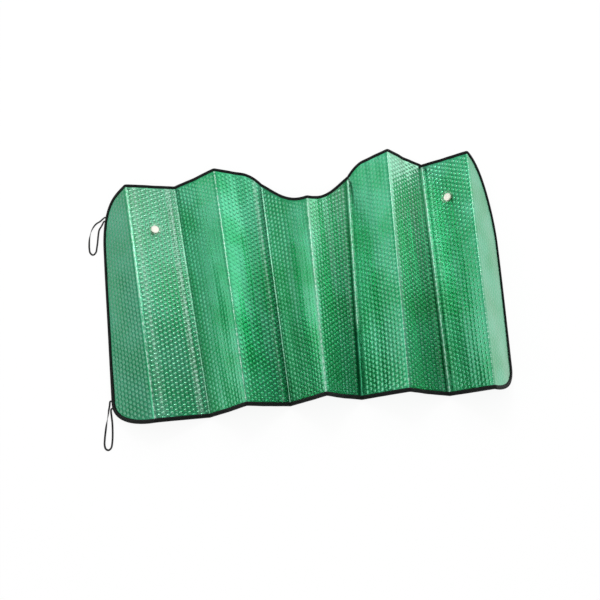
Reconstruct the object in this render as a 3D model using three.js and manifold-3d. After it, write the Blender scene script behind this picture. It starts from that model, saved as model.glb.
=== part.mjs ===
// A folding car sunshade: a sheet of bubble film creased into zigzag panels, edged with a sewn tape,
// with two elastic loops on its left edge and two suction cups. It lies on the ground, part way open.
// Millimetres. +X runs across the folds, +Y to the top edge and +Z up. The origin is on the ground,
// under the middle of the shade. Flat places on the sheet are u, from the left, and v, from the foot.
import * as THREE from 'three';
import { mergeVertices } from 'three/addons/utils/BufferGeometryUtils.js';
import Module from 'manifold-3d';

// Film sheet
const PANEL_WIDTH = 130;
const SHEET_HEIGHT = 600;
const FILM_THICKNESS = 4;
// How steeply the two panels of each ridge lean, in degrees, from left to right
const LEAN_AT_FOOT = [25, 43, 50, 37.5, 51];
const LEAN_AT_TOP = [29.5, 30.5, 30, 42.5, 39];

// Cut edge of the flat sheet
const FOOT_EDGE_END = -9;
const FOOT_EDGE_MIDDLE = 10;
const TOP_EDGE_END = -16;
const TOP_EDGE_MIDDLE = 7;
const NOTCH_HALF_WIDTH = 180;
const NOTCH_DEPTH = 99;
const NOTCH_SHOULDER = 60;
const NOTCH_FLOOR = 90;
const FOOT_CORNER_HEIGHT = 50;
const FOOT_CORNER_HANDLES = [70, 38];
const TOP_CORNER_SIDE_HANDLE = [7, 97];
const TOP_CORNER_CREST_HANDLE = [58, 15];
const SIDE_BOW = 2;
// Each side edge leans inwards from its foot to the shoulder of its top corner
const LEFT_SIDE = { footInset: 10, shoulderInset: 25, shoulderDrop: 150 };
const RIGHT_SIDE = { footInset: 9, shoulderInset: 17, shoulderDrop: 230 };

// Edge tape, folded round the film
const TAPE_THICKNESS = 0.8;
const TAPE_COVER = 8;
// The fold of the tape stands this far off the cut edge, which is not square to it at the fold lines
const TAPE_SLACK = 1;
const CLEARANCE = 0.3;

// Suction cups, pushed through punched holes. The bell's wall turns outwards at its waist.
const CUP_RADIUS = 16;
const CUP_HEIGHT = 8;
const CUP_RIM_WIDTH = 1.8;
const CUP_RIM_EDGE = 0.7;
const CUP_RIM_THICKNESS = 1.4;
const CUP_HOLLOW_DEPTH = 3.2;
const CUP_HOLLOW_FLOOR_RADIUS = 5.8;
const CUP_HOLLOW_TURN = { radius: 11.5, depth: 1.8 };
const CUP_WAIST = { radius: 11.2, height: 3.2 };
const COLLAR_RADIUS = 6;
const COLLAR_HEIGHT = 1.2;
const NECK_RADIUS = 3.5;
const HEAD_RADIUS = 6.5;
const HEAD_TIP_RADIUS = 3.9;
const HEAD_THICKNESS = 2.6;
// How far each cup's hole is in from the side and down from the top of the sheet
const LEFT_CUP_HOLE = [190, 131];
const RIGHT_CUP_HOLE = [194, 118];

// Elastic loops: each leaves the left edge at one height and comes back at another, and its free
// points are x and y from the edge at the first height. The upper one goes by the top of the sheet.
const ELASTIC_DIAMETER = 3;
const LOOP_LEAD = 5;
const UPPER_LOOP = {
    heights: [SHEET_HEIGHT - 75, SHEET_HEIGHT - 84],
    points: [
        [-18, -4], [-28, -10], [-36, -20], [-41, -32], [-44, -46], [-45.5, -60], [-45.5, -75],
        [-43, -88], [-36, -94], [-29, -88], [-26, -73], [-24, -57], [-22.5, -41], [-20, -27], [-14, -17]
    ]
};
const LOWER_LOOP = {
    heights: [57, 40],
    points: [
        [-5.5, -10], [-7.5, -20], [-9, -32], [-11.5, -46], [-14, -60], [-16, -74], [-17.5, -88],
        [-18, -100], [-15, -110], [-8.5, -113], [-2.5, -108], [0, -96], [1, -81], [1, -65],
        [0.5, -50], [-1, -36]
    ]
};

// How finely the surfaces are divided
const COLUMNS_PER_PANEL = 8;
const ROW_HEIGHT = 12;
const ROUND_SEGMENTS = 24;
const TUBE_SIDES = 8;
const TUBE_STEP = 7.5;
const SAME_PLACE = 1e-4;

const PANEL_COUNT = 2 * LEAN_AT_TOP.length;
const SHEET_WIDTH = PANEL_COUNT * PANEL_WIDTH;
const HALF_FILM = FILM_THICKNESS / 2;
const LEFT_CUP_PLACE = [LEFT_CUP_HOLE[0], SHEET_HEIGHT - LEFT_CUP_HOLE[1]];
const RIGHT_CUP_PLACE = [SHEET_WIDTH - RIGHT_CUP_HOLE[0], SHEET_HEIGHT - RIGHT_CUP_HOLE[1]];

const filmMaterial = new THREE.MeshStandardMaterial({ color: 0x4fae7f, roughness: 0.3, metalness: 0.7 });
const tapeMaterial = new THREE.MeshStandardMaterial({ color: 0x141615, roughness: 0.85, metalness: 0 });
const elasticMaterial = new THREE.MeshStandardMaterial({ color: 0x17191a, roughness: 0.8, metalness: 0 });
const cupMaterial = new THREE.MeshStandardMaterial({ color: 0xdcdfd4, roughness: 0.15, metalness: 0 });

// The two ends of every fold line. The outermost lines are where the end panels would end at full
// width: they are set so that the cut side edges, which lie inside them, rest at valley level.
function foldLineEnds(leans, y, leftInset, rightInset) {
    const ends = [new THREE.Vector3(0, y, 0)];
    for (let panel = 0; panel < PANEL_COUNT; panel++) {
        const lean = THREE.MathUtils.degToRad(leans[Math.floor(panel / 2)]);
        const climbs = panel % 2 === 0;
        const x = ends[panel].x + PANEL_WIDTH * Math.cos(lean);
        ends.push(new THREE.Vector3(x, y, climbs ? PANEL_WIDTH * Math.sin(lean) : 0));
    }
    const middle = ends[PANEL_COUNT / 2].x;
    ends.forEach((end) => end.setX(end.x - middle));
    lowerOutermost(ends[0], ends[1], leftInset);
    lowerOutermost(ends[PANEL_COUNT], ends[PANEL_COUNT - 1], rightInset);
    return ends;
}

function lowerOutermost(outermost, ridge, inset) {
    const drop = ridge.z * PANEL_WIDTH / (PANEL_WIDTH - inset);
    const run = Math.sqrt(PANEL_WIDTH ** 2 - drop ** 2);
    const side = Math.sign(outermost.x - ridge.x);
    outermost.set(ridge.x + side * run, ridge.y, ridge.z - drop);
}

function sideInset(side, v) {
    const shoulderHeight = SHEET_HEIGHT - side.shoulderDrop;
    const share = (v - FOOT_CORNER_HEIGHT) / (shoulderHeight - FOOT_CORNER_HEIGHT);
    return side.footInset + (side.shoulderInset - side.footInset) * share;
}

const footEnds = foldLineEnds(LEAN_AT_FOOT, 0, sideInset(LEFT_SIDE, 0), sideInset(RIGHT_SIDE, 0));
const topEnds = foldLineEnds(
    LEAN_AT_TOP, SHEET_HEIGHT, sideInset(LEFT_SIDE, SHEET_HEIGHT), sideInset(RIGHT_SIDE, SHEET_HEIGHT));

function onFoldLine(fold, v) {
    return footEnds[fold].clone().lerp(topEnds[fold], v / SHEET_HEIGHT);
}

function panelPoint(panel, u, v) {
    return onFoldLine(panel, v).lerp(onFoldLine(panel + 1, v), u / PANEL_WIDTH - panel);
}

function panelNormal(panel, u, v) {
    const across = onFoldLine(panel + 1, v).sub(onFoldLine(panel, v));
    const up = panelPoint(panel, u, SHEET_HEIGHT).sub(panelPoint(panel, u, 0));
    return across.cross(up).normalize();
}

// The folded place of a flat point, at height w over the middle of the film. On a fold line the
// height runs along the mitre of the two panels, so the film keeps its thickness.
function folded(u, v, w) {
    const fold = Math.round(u / PANEL_WIDTH);
    const onLine = Math.abs(u - fold * PANEL_WIDTH) < SAME_PLACE && fold > 0 && fold < PANEL_COUNT;
    if (!onLine) {
        const panel = Math.min(Math.max(Math.floor(u / PANEL_WIDTH), 0), PANEL_COUNT - 1);
        return panelPoint(panel, u, v).addScaledVector(panelNormal(panel, u, v), w);
    }
    const before = panelNormal(fold - 1, u, v);
    const mitre = before.clone().add(panelNormal(fold, u, v)).normalize();
    return onFoldLine(fold, v).addScaledVector(mitre, w / mitre.dot(before));
}

const flat = (u, v) => new THREE.Vector2(u, v);

// Curves of the top edge from left to right: a shallow rise, the two halves of the notch, a fall
function topEdgeCurves() {
    const middle = SHEET_WIDTH / 2;
    const first = PANEL_WIDTH;
    const last = SHEET_WIDTH - PANEL_WIDTH;
    const end = SHEET_HEIGHT + TOP_EDGE_END;
    const crest = SHEET_HEIGHT + TOP_EDGE_MIDDLE;
    const floor = crest - NOTCH_DEPTH;
    const notchStart = middle - NOTCH_HALF_WIDTH;
    const notchEnd = middle + NOTCH_HALF_WIDTH;
    const belly = (first + notchStart) / 2;
    return [
        new THREE.QuadraticBezierCurve(flat(first, end), flat(belly, crest), flat(notchStart, crest)),
        new THREE.CubicBezierCurve(
            flat(notchStart, crest), flat(notchStart + NOTCH_SHOULDER, crest),
            flat(middle - NOTCH_FLOOR, floor), flat(middle, floor)),
        new THREE.CubicBezierCurve(
            flat(middle, floor), flat(middle + NOTCH_FLOOR, floor),
            flat(notchEnd - NOTCH_SHOULDER, crest), flat(notchEnd, crest)),
        new THREE.QuadraticBezierCurve(
            flat(notchEnd, crest), flat(SHEET_WIDTH - belly, crest), flat(last, end))
    ];
}

// The foot edge is one shallow arch, whose control point stands twice as high as its crown
function footEdgeCurve() {
    const controlHeight = 2 * FOOT_EDGE_MIDDLE - FOOT_EDGE_END;
    return new THREE.QuadraticBezierCurve(
        flat(PANEL_WIDTH, FOOT_EDGE_END), flat(SHEET_WIDTH / 2, controlHeight),
        flat(SHEET_WIDTH - PANEL_WIDTH, FOOT_EDGE_END));
}

// The point of a curve at a given u, found by halving, for a curve whose u only grows
function pointAtColumn(curve, u) {
    let low = 0;
    let high = 1;
    for (let step = 0; step < 40; step++) {
        const half = (low + high) / 2;
        if (curve.getPoint(half).x < u) {
            low = half;
        } else {
            high = half;
        }
    }
    return flat(u, curve.getPoint(low).y);
}

// Outline points between the first and the last fold, so that every fold line is a column
function edgeColumns(curves) {
    const points = [];
    const count = (PANEL_COUNT - 2) * COLUMNS_PER_PANEL;
    for (let column = 0; column <= count; column++) {
        const u = PANEL_WIDTH * (1 + column / COLUMNS_PER_PANEL);
        const curve = curves.find((each) => u <= each.getPoint(1).x + SAME_PLACE);
        points.push(pointAtColumn(curve, u));
    }
    return points;
}

// Outline points of one end, from the nearest fold's foot round to its top, with u as the inset
function endPoints(side) {
    const shoulder = flat(side.shoulderInset, SHEET_HEIGHT - side.shoulderDrop);
    const foot = flat(side.footInset, FOOT_CORNER_HEIGHT);
    const footFold = flat(PANEL_WIDTH, FOOT_EDGE_END);
    const topFold = flat(PANEL_WIDTH, SHEET_HEIGHT + TOP_EDGE_END);
    const [alongHandle, upHandle] = FOOT_CORNER_HANDLES;
    const bow = flat((foot.x + shoulder.x) / 2 - SIDE_BOW, (foot.y + shoulder.y) / 2);
    const curves = [
        new THREE.CubicBezierCurve(
            footFold, flat(footFold.x - alongHandle, footFold.y), flat(foot.x, foot.y - upHandle), foot),
        new THREE.QuadraticBezierCurve(foot, bow, shoulder),
        new THREE.CubicBezierCurve(
            shoulder, shoulder.clone().add(flat(...TOP_CORNER_SIDE_HANDLE)),
            topFold.clone().sub(flat(...TOP_CORNER_CREST_HANDLE)), topFold)
    ];
    const spacing = PANEL_WIDTH / COLUMNS_PER_PANEL;
    const points = curves.flatMap(
        (curve) => curve.getSpacedPoints(Math.round(curve.getLength() / spacing)).slice(1));
    return points.slice(0, -1);
}

// The whole cut edge of the flat sheet, anticlockwise
function sheetOutline() {
    const rightEnd = endPoints(RIGHT_SIDE).map((point) => flat(SHEET_WIDTH - point.x, point.y));
    return [
        ...edgeColumns([footEdgeCurve()]), ...rightEnd,
        ...edgeColumns(topEdgeCurves()).reverse(), ...endPoints(LEFT_SIDE).reverse()
    ];
}

function crossing(a, b, axis, value) {
    const share = (value - a[axis]) / (b[axis] - a[axis]);
    return a.clone().lerp(b, share).setComponent(axis === 'x' ? 0 : 1, value);
}

function withRowCrossings(outline, rows) {
    return outline.flatMap((point, index) => {
        const next = outline[(index + 1) % outline.length];
        const low = Math.min(point.y, next.y) + SAME_PLACE;
        const high = Math.max(point.y, next.y) - SAME_PLACE;
        const crossed = rows.filter((row) => row > low && row < high);
        if (next.y < point.y) {
            crossed.reverse();
        }
        return [point, ...crossed.map((row) => crossing(point, next, 'y', row))];
    });
}

// The part of a polygon on one side of a line of constant u or v. A corner on the line is kept.
function clipped(polygon, axis, value, keepsAbove) {
    const side = keepsAbove ? 1 : -1;
    const inside = (point) => (point[axis] - value) * side >= -SAME_PLACE;
    const kept = [];
    polygon.forEach((point, index) => {
        const next = polygon[(index + 1) % polygon.length];
        if (inside(point)) {
            kept.push(point);
        }
        const touches = Math.min(Math.abs(point[axis] - value), Math.abs(next[axis] - value));
        if (inside(point) !== inside(next) && touches > SAME_PLACE) {
            kept.push(crossing(point, next, axis, value));
        }
    });
    return kept;
}

function geometryFromTriangles(corners) {
    const geometry = new THREE.BufferGeometry();
    geometry.setAttribute('position', new THREE.Float32BufferAttribute(
        corners.flatMap((corner) => corner.toArray()), 3));
    return mergeVertices(geometry, SAME_PLACE);
}

// The sheet is divided into cells by its fold lines and by rows, and each cell is filled front and back
function filmGeometry() {
    const outline = sheetOutline();
    const heights = outline.map((point) => point.y);
    const firstRow = Math.floor(Math.min(...heights) / ROW_HEIGHT);
    const lastRow = Math.ceil(Math.max(...heights) / ROW_HEIGHT);
    const rows = Array.from(
        { length: lastRow - firstRow + 1 }, (_, index) => (firstRow + index) * ROW_HEIGHT);
    const edge = withRowCrossings(outline, rows);
    const front = (point) => folded(point.x, point.y, HALF_FILM);
    const back = (point) => folded(point.x, point.y, -HALF_FILM);
    const corners = [];
    for (let panel = 0; panel < PANEL_COUNT; panel++) {
        const left = clipped(edge, 'x', panel * PANEL_WIDTH, true);
        const strip = clipped(left, 'x', (panel + 1) * PANEL_WIDTH, false);
        for (const row of rows) {
            const above = clipped(strip, 'y', row, true);
            const cell = clipped(above, 'y', row + ROW_HEIGHT, false);
            if (cell.length < 3 || THREE.ShapeUtils.area(cell) < SAME_PLACE) {
                continue;
            }
            for (const [a, b, c] of THREE.ShapeUtils.triangulateShape(cell, [])) {
                corners.push(front(cell[a]), front(cell[b]), front(cell[c]));
                corners.push(back(cell[a]), back(cell[c]), back(cell[b]));
            }
        }
    }
    edge.forEach((point, index) => {
        const next = edge[(index + 1) % edge.length];
        corners.push(back(point), back(next), front(next), back(point), front(next), front(point));
    });
    return geometryFromTriangles(corners);
}

// The tape's U section as distances in from the cut edge and heights over the middle of the film
function tapeSection() {
    const inner = HALF_FILM + CLEARANCE;
    const outer = inner + TAPE_THICKNESS;
    const fold = -TAPE_SLACK - TAPE_THICKNESS;
    return [
        [fold, -inner], [-TAPE_SLACK, -outer], [TAPE_COVER, -outer], [TAPE_COVER, -inner],
        [-TAPE_SLACK, -inner], [-TAPE_SLACK, inner], [TAPE_COVER, inner], [TAPE_COVER, outer],
        [-TAPE_SLACK, outer], [fold, inner]
    ];
}

// Which way the sheet lies from a point of its cut edge, long enough to keep the tape's width at a
// bend. On a fold line it runs along the line.
function inwardAt(outline, index) {
    const point = outline[index];
    const before = outline[(index + outline.length - 1) % outline.length];
    const after = outline[(index + 1) % outline.length];
    const arriving = point.clone().sub(before).normalize();
    const leaving = after.clone().sub(point).normalize();
    const along = arriving.clone().add(leaving).normalize();
    const inward = flat(-along.y, along.x);
    const fold = Math.round(point.x / PANEL_WIDTH);
    const isOnFold = Math.abs(point.x - fold * PANEL_WIDTH) < SAME_PLACE;
    if (isOnFold) {
        return flat(0, 1 / inward.y);
    }
    return inward.divideScalar(along.dot(arriving));
}

function tapeGeometry() {
    const outline = sheetOutline();
    const section = tapeSection();
    const rings = outline.map((point, index) => {
        const inward = inwardAt(outline, index);
        return section.map(([depth, height]) => folded(
            point.x + inward.x * depth, point.y + inward.y * depth, height));
    });
    const corners = [];
    rings.forEach((ring, index) => {
        const nextRing = rings[(index + 1) % rings.length];
        ring.forEach((corner, place) => {
            const nextPlace = (place + 1) % ring.length;
            corners.push(corner, nextRing[nextPlace], nextRing[place]);
            corners.push(corner, ring[nextPlace], nextRing[nextPlace]);
        });
    });
    return geometryFromTriangles(corners);
}

// A cup is a turned bell in front of the film, a neck through its hole and a head behind it. Its axis
// is the lathe's Y, with the middle of the film at 0.
function cupGeometry() {
    const front = HALF_FILM + CUP_HEIGHT;
    const seat = HALF_FILM + CLEARANCE;
    const profile = [
        [0, -seat - HEAD_THICKNESS], [HEAD_TIP_RADIUS, -seat - HEAD_THICKNESS],
        [HEAD_RADIUS, -seat - HEAD_THICKNESS / 2], [HEAD_RADIUS, -seat], [NECK_RADIUS, -seat],
        [NECK_RADIUS, seat], [COLLAR_RADIUS, seat], [COLLAR_RADIUS, seat + COLLAR_HEIGHT],
        [CUP_WAIST.radius, seat + CUP_WAIST.height],
        [CUP_RADIUS - CUP_RIM_EDGE, front - CUP_RIM_THICKNESS], [CUP_RADIUS, front - CUP_RIM_EDGE],
        [CUP_RADIUS, front], [CUP_RADIUS - CUP_RIM_WIDTH, front],
        [CUP_HOLLOW_TURN.radius, front - CUP_HOLLOW_TURN.depth],
        [CUP_HOLLOW_FLOOR_RADIUS, front - CUP_HOLLOW_DEPTH], [0, front - CUP_HOLLOW_DEPTH]
    ];
    const points = profile.map(([radius, height]) => new THREE.Vector2(radius, height));
    return new THREE.LatheGeometry(points, ROUND_SEGMENTS);
}

// Turns a piece made along Y so that it stands on the film at a flat place
function standOnFilm(object, [u, v]) {
    const panel = Math.floor(u / PANEL_WIDTH);
    object.quaternion.setFromUnitVectors(new THREE.Vector3(0, 1, 0), panelNormal(panel, u, v));
    object.position.copy(folded(u, v, 0));
    object.updateMatrixWorld();
    return object;
}

const manifoldLibrary = await Module();
manifoldLibrary.setup();

function toSolid(geometry) {
    const plain = geometry.clone();
    plain.deleteAttribute('normal');
    plain.deleteAttribute('uv');
    const merged = mergeVertices(plain, SAME_PLACE);
    return new manifoldLibrary.Manifold(new manifoldLibrary.Mesh({
        numProp: 3,
        vertProperties: new Float32Array(merged.attributes.position.array),
        triVerts: new Uint32Array(merged.index.array)
    }));
}

function fromSolid(solid) {
    const mesh = solid.getMesh();
    const geometry = new THREE.BufferGeometry();
    geometry.setAttribute('position', new THREE.BufferAttribute(mesh.vertProperties, 3));
    geometry.setIndex(new THREE.BufferAttribute(mesh.triVerts, 1));
    return geometry;
}

function punchedFilmGeometry() {
    const punch = new THREE.CylinderGeometry(
        NECK_RADIUS + CLEARANCE, NECK_RADIUS + CLEARANCE, 4 * FILM_THICKNESS, ROUND_SEGMENTS);
    const holes = [LEFT_CUP_PLACE, RIGHT_CUP_PLACE].map((place) => {
        const hole = standOnFilm(new THREE.Object3D(), place);
        return toSolid(punch.clone().applyMatrix4(hole.matrixWorld));
    });
    return fromSolid(holes.reduce((film, hole) => film.subtract(hole), toSolid(filmGeometry())));
}

function namedMesh(name, geometry, material) {
    geometry.computeVertexNormals();
    const mesh = new THREE.Mesh(geometry, material);
    mesh.name = name;
    return mesh;
}

function cup(name, place) {
    return standOnFilm(namedMesh(name, cupGeometry(), cupMaterial), place);
}

// A place outside the left side edge, at a height on the sheet and a distance out in its panel's plane
function besideLeftEdge(outline, v, distance) {
    const leftEnd = outline.filter((point) => point.x < PANEL_WIDTH / 2);
    const above = leftEnd.findIndex((point, index) => point.y >= v && leftEnd[index + 1].y < v);
    const down = leftEnd[above + 1].clone().sub(leftEnd[above]);
    const edge = leftEnd[above].clone().addScaledVector(down, (v - leftEnd[above].y) / down.y);
    down.normalize();
    return folded(edge.x + down.y * distance, edge.y - down.x * distance, 0);
}

// A smooth path that never sinks below the height at which an elastic lies on the ground
class LyingPath extends THREE.CatmullRomCurve3 {
    getPoint(share, target) {
        const point = super.getPoint(share, target);
        return point.setZ(Math.max(point.z, ELASTIC_DIAMETER / 2));
    }
}

// An elastic loop leaves the tape in the plane of the panel, lies on the ground and comes back
function loopGeometry(loop, shadePosition) {
    const outline = sheetOutline();
    const tapeFold = TAPE_SLACK + TAPE_THICKNESS;
    const [leaving, returning] = loop.heights.map((height) => ({
        exit: besideLeftEdge(outline, height, tapeFold + CLEARANCE).add(shadePosition),
        lead: besideLeftEdge(outline, height, tapeFold + LOOP_LEAD).add(shadePosition)
    }));
    const lying = loop.points.map(([x, y]) => new THREE.Vector3(
        leaving.exit.x + x, leaving.exit.y + y, ELASTIC_DIAMETER / 2));
    const path = new LyingPath(
        [leaving.exit, leaving.lead, ...lying, returning.lead, returning.exit], false, 'centripetal');
    const section = new THREE.Shape(Array.from({ length: TUBE_SIDES }, (_, side) => {
        const angle = 2 * Math.PI * (side + 0.5) / TUBE_SIDES;
        return flat(Math.cos(angle), Math.sin(angle)).multiplyScalar(ELASTIC_DIAMETER / 2);
    }));
    return new THREE.ExtrudeGeometry(section, {
        extrudePath: path, steps: Math.round(path.getLength() / TUBE_STEP), bevelEnabled: false
    });
}

const shade = new THREE.Group();
shade.add(namedMesh('shade_panel', punchedFilmGeometry(), filmMaterial));
shade.add(namedMesh('edge_binding', tapeGeometry(), tapeMaterial));
shade.add(cup('left_suction_cup', LEFT_CUP_PLACE));
shade.add(cup('right_suction_cup', RIGHT_CUP_PLACE));
const shadeBox = new THREE.Box3().setFromObject(shade, true);
const shadeMiddle = shadeBox.getCenter(new THREE.Vector3());
shade.position.set(-shadeMiddle.x, -shadeMiddle.y, -shadeBox.min.z);

const group = new THREE.Group();
group.add(shade);
group.add(namedMesh('upper_elastic_loop', loopGeometry(UPPER_LOOP, shade.position), elasticMaterial));
group.add(namedMesh('lower_elastic_loop', loopGeometry(LOWER_LOOP, shade.position), elasticMaterial));

export default group;
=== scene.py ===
"""A folding car sunshade of green bubble film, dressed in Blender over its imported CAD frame.

Everything is in metres and in the frame of the CAD part. Flat places on the sheet are u, from its left,
and v, from its foot, and w is the height over the middle of the film.
"""
import math

import bpy
import numpy as np
from mathutils import Matrix, Vector, kdtree
from mathutils.geometry import delaunay_2d_cdt


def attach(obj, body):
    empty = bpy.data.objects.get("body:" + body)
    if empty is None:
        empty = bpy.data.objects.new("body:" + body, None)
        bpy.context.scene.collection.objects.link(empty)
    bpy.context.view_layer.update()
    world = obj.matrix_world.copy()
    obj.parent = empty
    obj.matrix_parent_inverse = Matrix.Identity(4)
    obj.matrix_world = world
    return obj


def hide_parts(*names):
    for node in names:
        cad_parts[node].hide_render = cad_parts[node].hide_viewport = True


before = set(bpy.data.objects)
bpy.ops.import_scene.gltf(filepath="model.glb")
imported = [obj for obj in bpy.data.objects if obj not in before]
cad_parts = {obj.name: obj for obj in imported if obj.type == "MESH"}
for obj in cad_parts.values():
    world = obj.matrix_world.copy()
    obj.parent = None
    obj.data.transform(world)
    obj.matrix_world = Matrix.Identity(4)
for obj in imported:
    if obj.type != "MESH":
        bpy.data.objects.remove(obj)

bl_info = {
    "name": "Bubble film sunshade",
    "version": (1, 0, 0),
    "blender": (4, 5, 0),
    "location": "3D View > Sidebar > Sunshade",
    "description": "Makes a part-folded car sunshade with its edge tape, elastic loops and suction cups",
    "category": "Add Mesh",
}

MM = 0.001
BODY = "root"
# A wave texture's bands are a distance of 1 apart at this scale
WAVE_SCALE = 2 * math.pi / 20
# Of the floor as it is seen, this much is plain white and the rest is lit paper that keeps the shadow
FLOOR_WHITE_SHARE = 0.88

# Film sheet, as the CAD part has it
PANEL_WIDTH = 130 * MM
PANEL_COUNT = 10
SHEET_WIDTH = PANEL_COUNT * PANEL_WIDTH
SHEET_HEIGHT = 600 * MM
HALF_FILM = 2 * MM
LEAN_AT_FOOT = (25, 43, 50, 37.5, 51)
LEAN_AT_TOP = (29.5, 30.5, 30, 42.5, 39)
PART_SHIFT = np.array((28.28033, -298.98348, 4.75356)) * MM

# Cut edge of the flat sheet
FOOT_EDGE_END = -9 * MM
FOOT_EDGE_MIDDLE = 10 * MM
TOP_EDGE_END = -16 * MM
TOP_EDGE_MIDDLE = 7 * MM
NOTCH_HALF_WIDTH = 180 * MM
NOTCH_DEPTH = 99 * MM
NOTCH_SHOULDER = 60 * MM
NOTCH_FLOOR = 90 * MM
FOOT_CORNER_HEIGHT = 50 * MM
FOOT_CORNER_HANDLES = (70 * MM, 38 * MM)
TOP_CORNER_SIDE_HANDLE = (7 * MM, 97 * MM)
TOP_CORNER_CREST_HANDLE = (58 * MM, 15 * MM)
SIDE_BOW = 2 * MM
LEFT_SIDE = {"foot_inset": 10 * MM, "shoulder_inset": 25 * MM, "shoulder_drop": 150 * MM}
RIGHT_SIDE = {"foot_inset": 9 * MM, "shoulder_inset": 17 * MM, "shoulder_drop": 230 * MM}

# Edge tape, as the CAD part has it
TAPE_THICKNESS = 0.8 * MM
TAPE_COVER = 8 * MM
TAPE_SLACK = 1 * MM
CLEARANCE = 0.3 * MM

# Suction cups
CUP_PLACES = {
    "left_suction_cup": (190 * MM, 469 * MM),
    "right_suction_cup": (1106 * MM, 482 * MM),
}

# Radius and height over the middle of the film at which a cup's profile is drawn
DRAWN_CUP_RIM = 16 * MM
DRAWN_CUP_TOP = 10 * MM

# Elastic loops: heights on the left edge, and free points in x and y from the first of them
LOOP_LEAD = 5 * MM
LOOP_LYING_HEIGHT = 1.5 * MM
LOOP_OVER_FLOOR = 0.1 * MM
LOOP_RING_SPACING = 1.2 * MM
LOOP_STEPS = 6
LOOPS = {
    "upper_elastic_loop": {
        "heights": (525, 516),
        "points": (
            (-18, -4), (-28, -10), (-36, -20), (-41, -32), (-44, -46), (-45.5, -60), (-45.5, -75),
            (-43, -88), (-36, -94), (-29, -88), (-26, -73), (-24, -57), (-22.5, -41), (-20, -27),
            (-14, -17)),
        "twisted_between": (0.12, 0.5),
    },
    "lower_elastic_loop": {
        "heights": (57, 40),
        "points": (
            (-5.5, -10), (-7.5, -20), (-9, -32), (-11.5, -46), (-14, -60), (-16, -74), (-17.5, -88),
            (-18, -100), (-15, -110), (-8.5, -113), (-2.5, -108), (0, -96), (1, -81), (1, -65),
            (0.5, -50), (-1, -36)),
        "twisted_between": (0.05, 0.4),
    },
}

# Camera at the photograph's place, worked out from the fold lines and the cut edge
CAMERA_PLACE = (-0.0210, -0.5490, 1.6902)
CAMERA_TURNS = (-0.0192, 0.2965, -0.0706)
CAMERA_LENS = 43.16


# Flat sheet and folding

def fold_line_ends(leans, y, left_inset, right_inset):
    """The ends of every fold line at one height, with the outermost lowered so the cut sides rest."""
    ends = [np.array((0.0, y, 0.0))]
    for panel in range(PANEL_COUNT):
        lean = math.radians(leans[panel // 2])
        x = ends[-1][0] + PANEL_WIDTH * math.cos(lean)
        ends.append(np.array((x, y, PANEL_WIDTH * math.sin(lean) if panel % 2 == 0 else 0.0)))
    ends = np.array(ends)
    ends[:, 0] -= ends[PANEL_COUNT // 2, 0]
    for outer, ridge, inset in ((0, 1, left_inset), (PANEL_COUNT, PANEL_COUNT - 1, right_inset)):
        drop = ends[ridge, 2] * PANEL_WIDTH / (PANEL_WIDTH - inset)
        run = math.sqrt(PANEL_WIDTH ** 2 - drop ** 2)
        side = math.copysign(1, outer - ridge)
        ends[outer] = (ends[ridge, 0] + side * run, y, ends[ridge, 2] - drop)
    return ends + PART_SHIFT


def side_inset(side, v):
    shoulder_height = SHEET_HEIGHT - side["shoulder_drop"]
    share = (v - FOOT_CORNER_HEIGHT) / (shoulder_height - FOOT_CORNER_HEIGHT)
    return side["foot_inset"] + (side["shoulder_inset"] - side["foot_inset"]) * share


FOOT_ENDS = fold_line_ends(LEAN_AT_FOOT, 0, side_inset(LEFT_SIDE, 0), side_inset(RIGHT_SIDE, 0))
TOP_ENDS = fold_line_ends(
    LEAN_AT_TOP, SHEET_HEIGHT,
    side_inset(LEFT_SIDE, SHEET_HEIGHT), side_inset(RIGHT_SIDE, SHEET_HEIGHT))
LINE_SLOPES = (TOP_ENDS - FOOT_ENDS) / SHEET_HEIGHT

# How far each panel swells out of its plane at its middle, at the foot and at the top, the wave in
# that along its height, and the narrow rolls beside its folds
SWELL_AT_FOOT = np.array((0.8, -1.0, -3.4, -4.4, -2.4, -4.6, -1.6, -4.6, -1.2, 0.8)) * MM
SWELL_AT_TOP = np.array((0.8, -1.5, -2.4, -2.5, -2.0, -3.4, -0.8, -3.4, -0.8, 0.8)) * MM
SWELL_WAVE = 1.3 * MM
SWELL_WAVE_LENGTH = 300 * MM
ROLL = np.array((0.0, 0.25, 0.35, 0.5, 0.5, 0.6, 0.45, 0.7, 0.4, 0.0)) * MM
CREASE_RADIUS = 2.6 * MM


def swell(u, v):
    panel = np.clip((u // PANEL_WIDTH).astype(int), 0, PANEL_COUNT - 1)
    share = np.clip(u / PANEL_WIDTH - panel, 0, 1)
    bow = SWELL_AT_FOOT[panel] + (SWELL_AT_TOP - SWELL_AT_FOOT)[panel] * v / SHEET_HEIGHT
    wave = SWELL_WAVE * np.sin(2 * np.pi * v / SWELL_WAVE_LENGTH + 2.1 * panel + 2 * share)
    roll = ROLL[panel] * np.sin(2 * np.pi * (3 * share + v / 0.7) + 1.3 * panel)
    return np.sin(np.pi * share) ** 2 * (bow + wave + roll)


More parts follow.
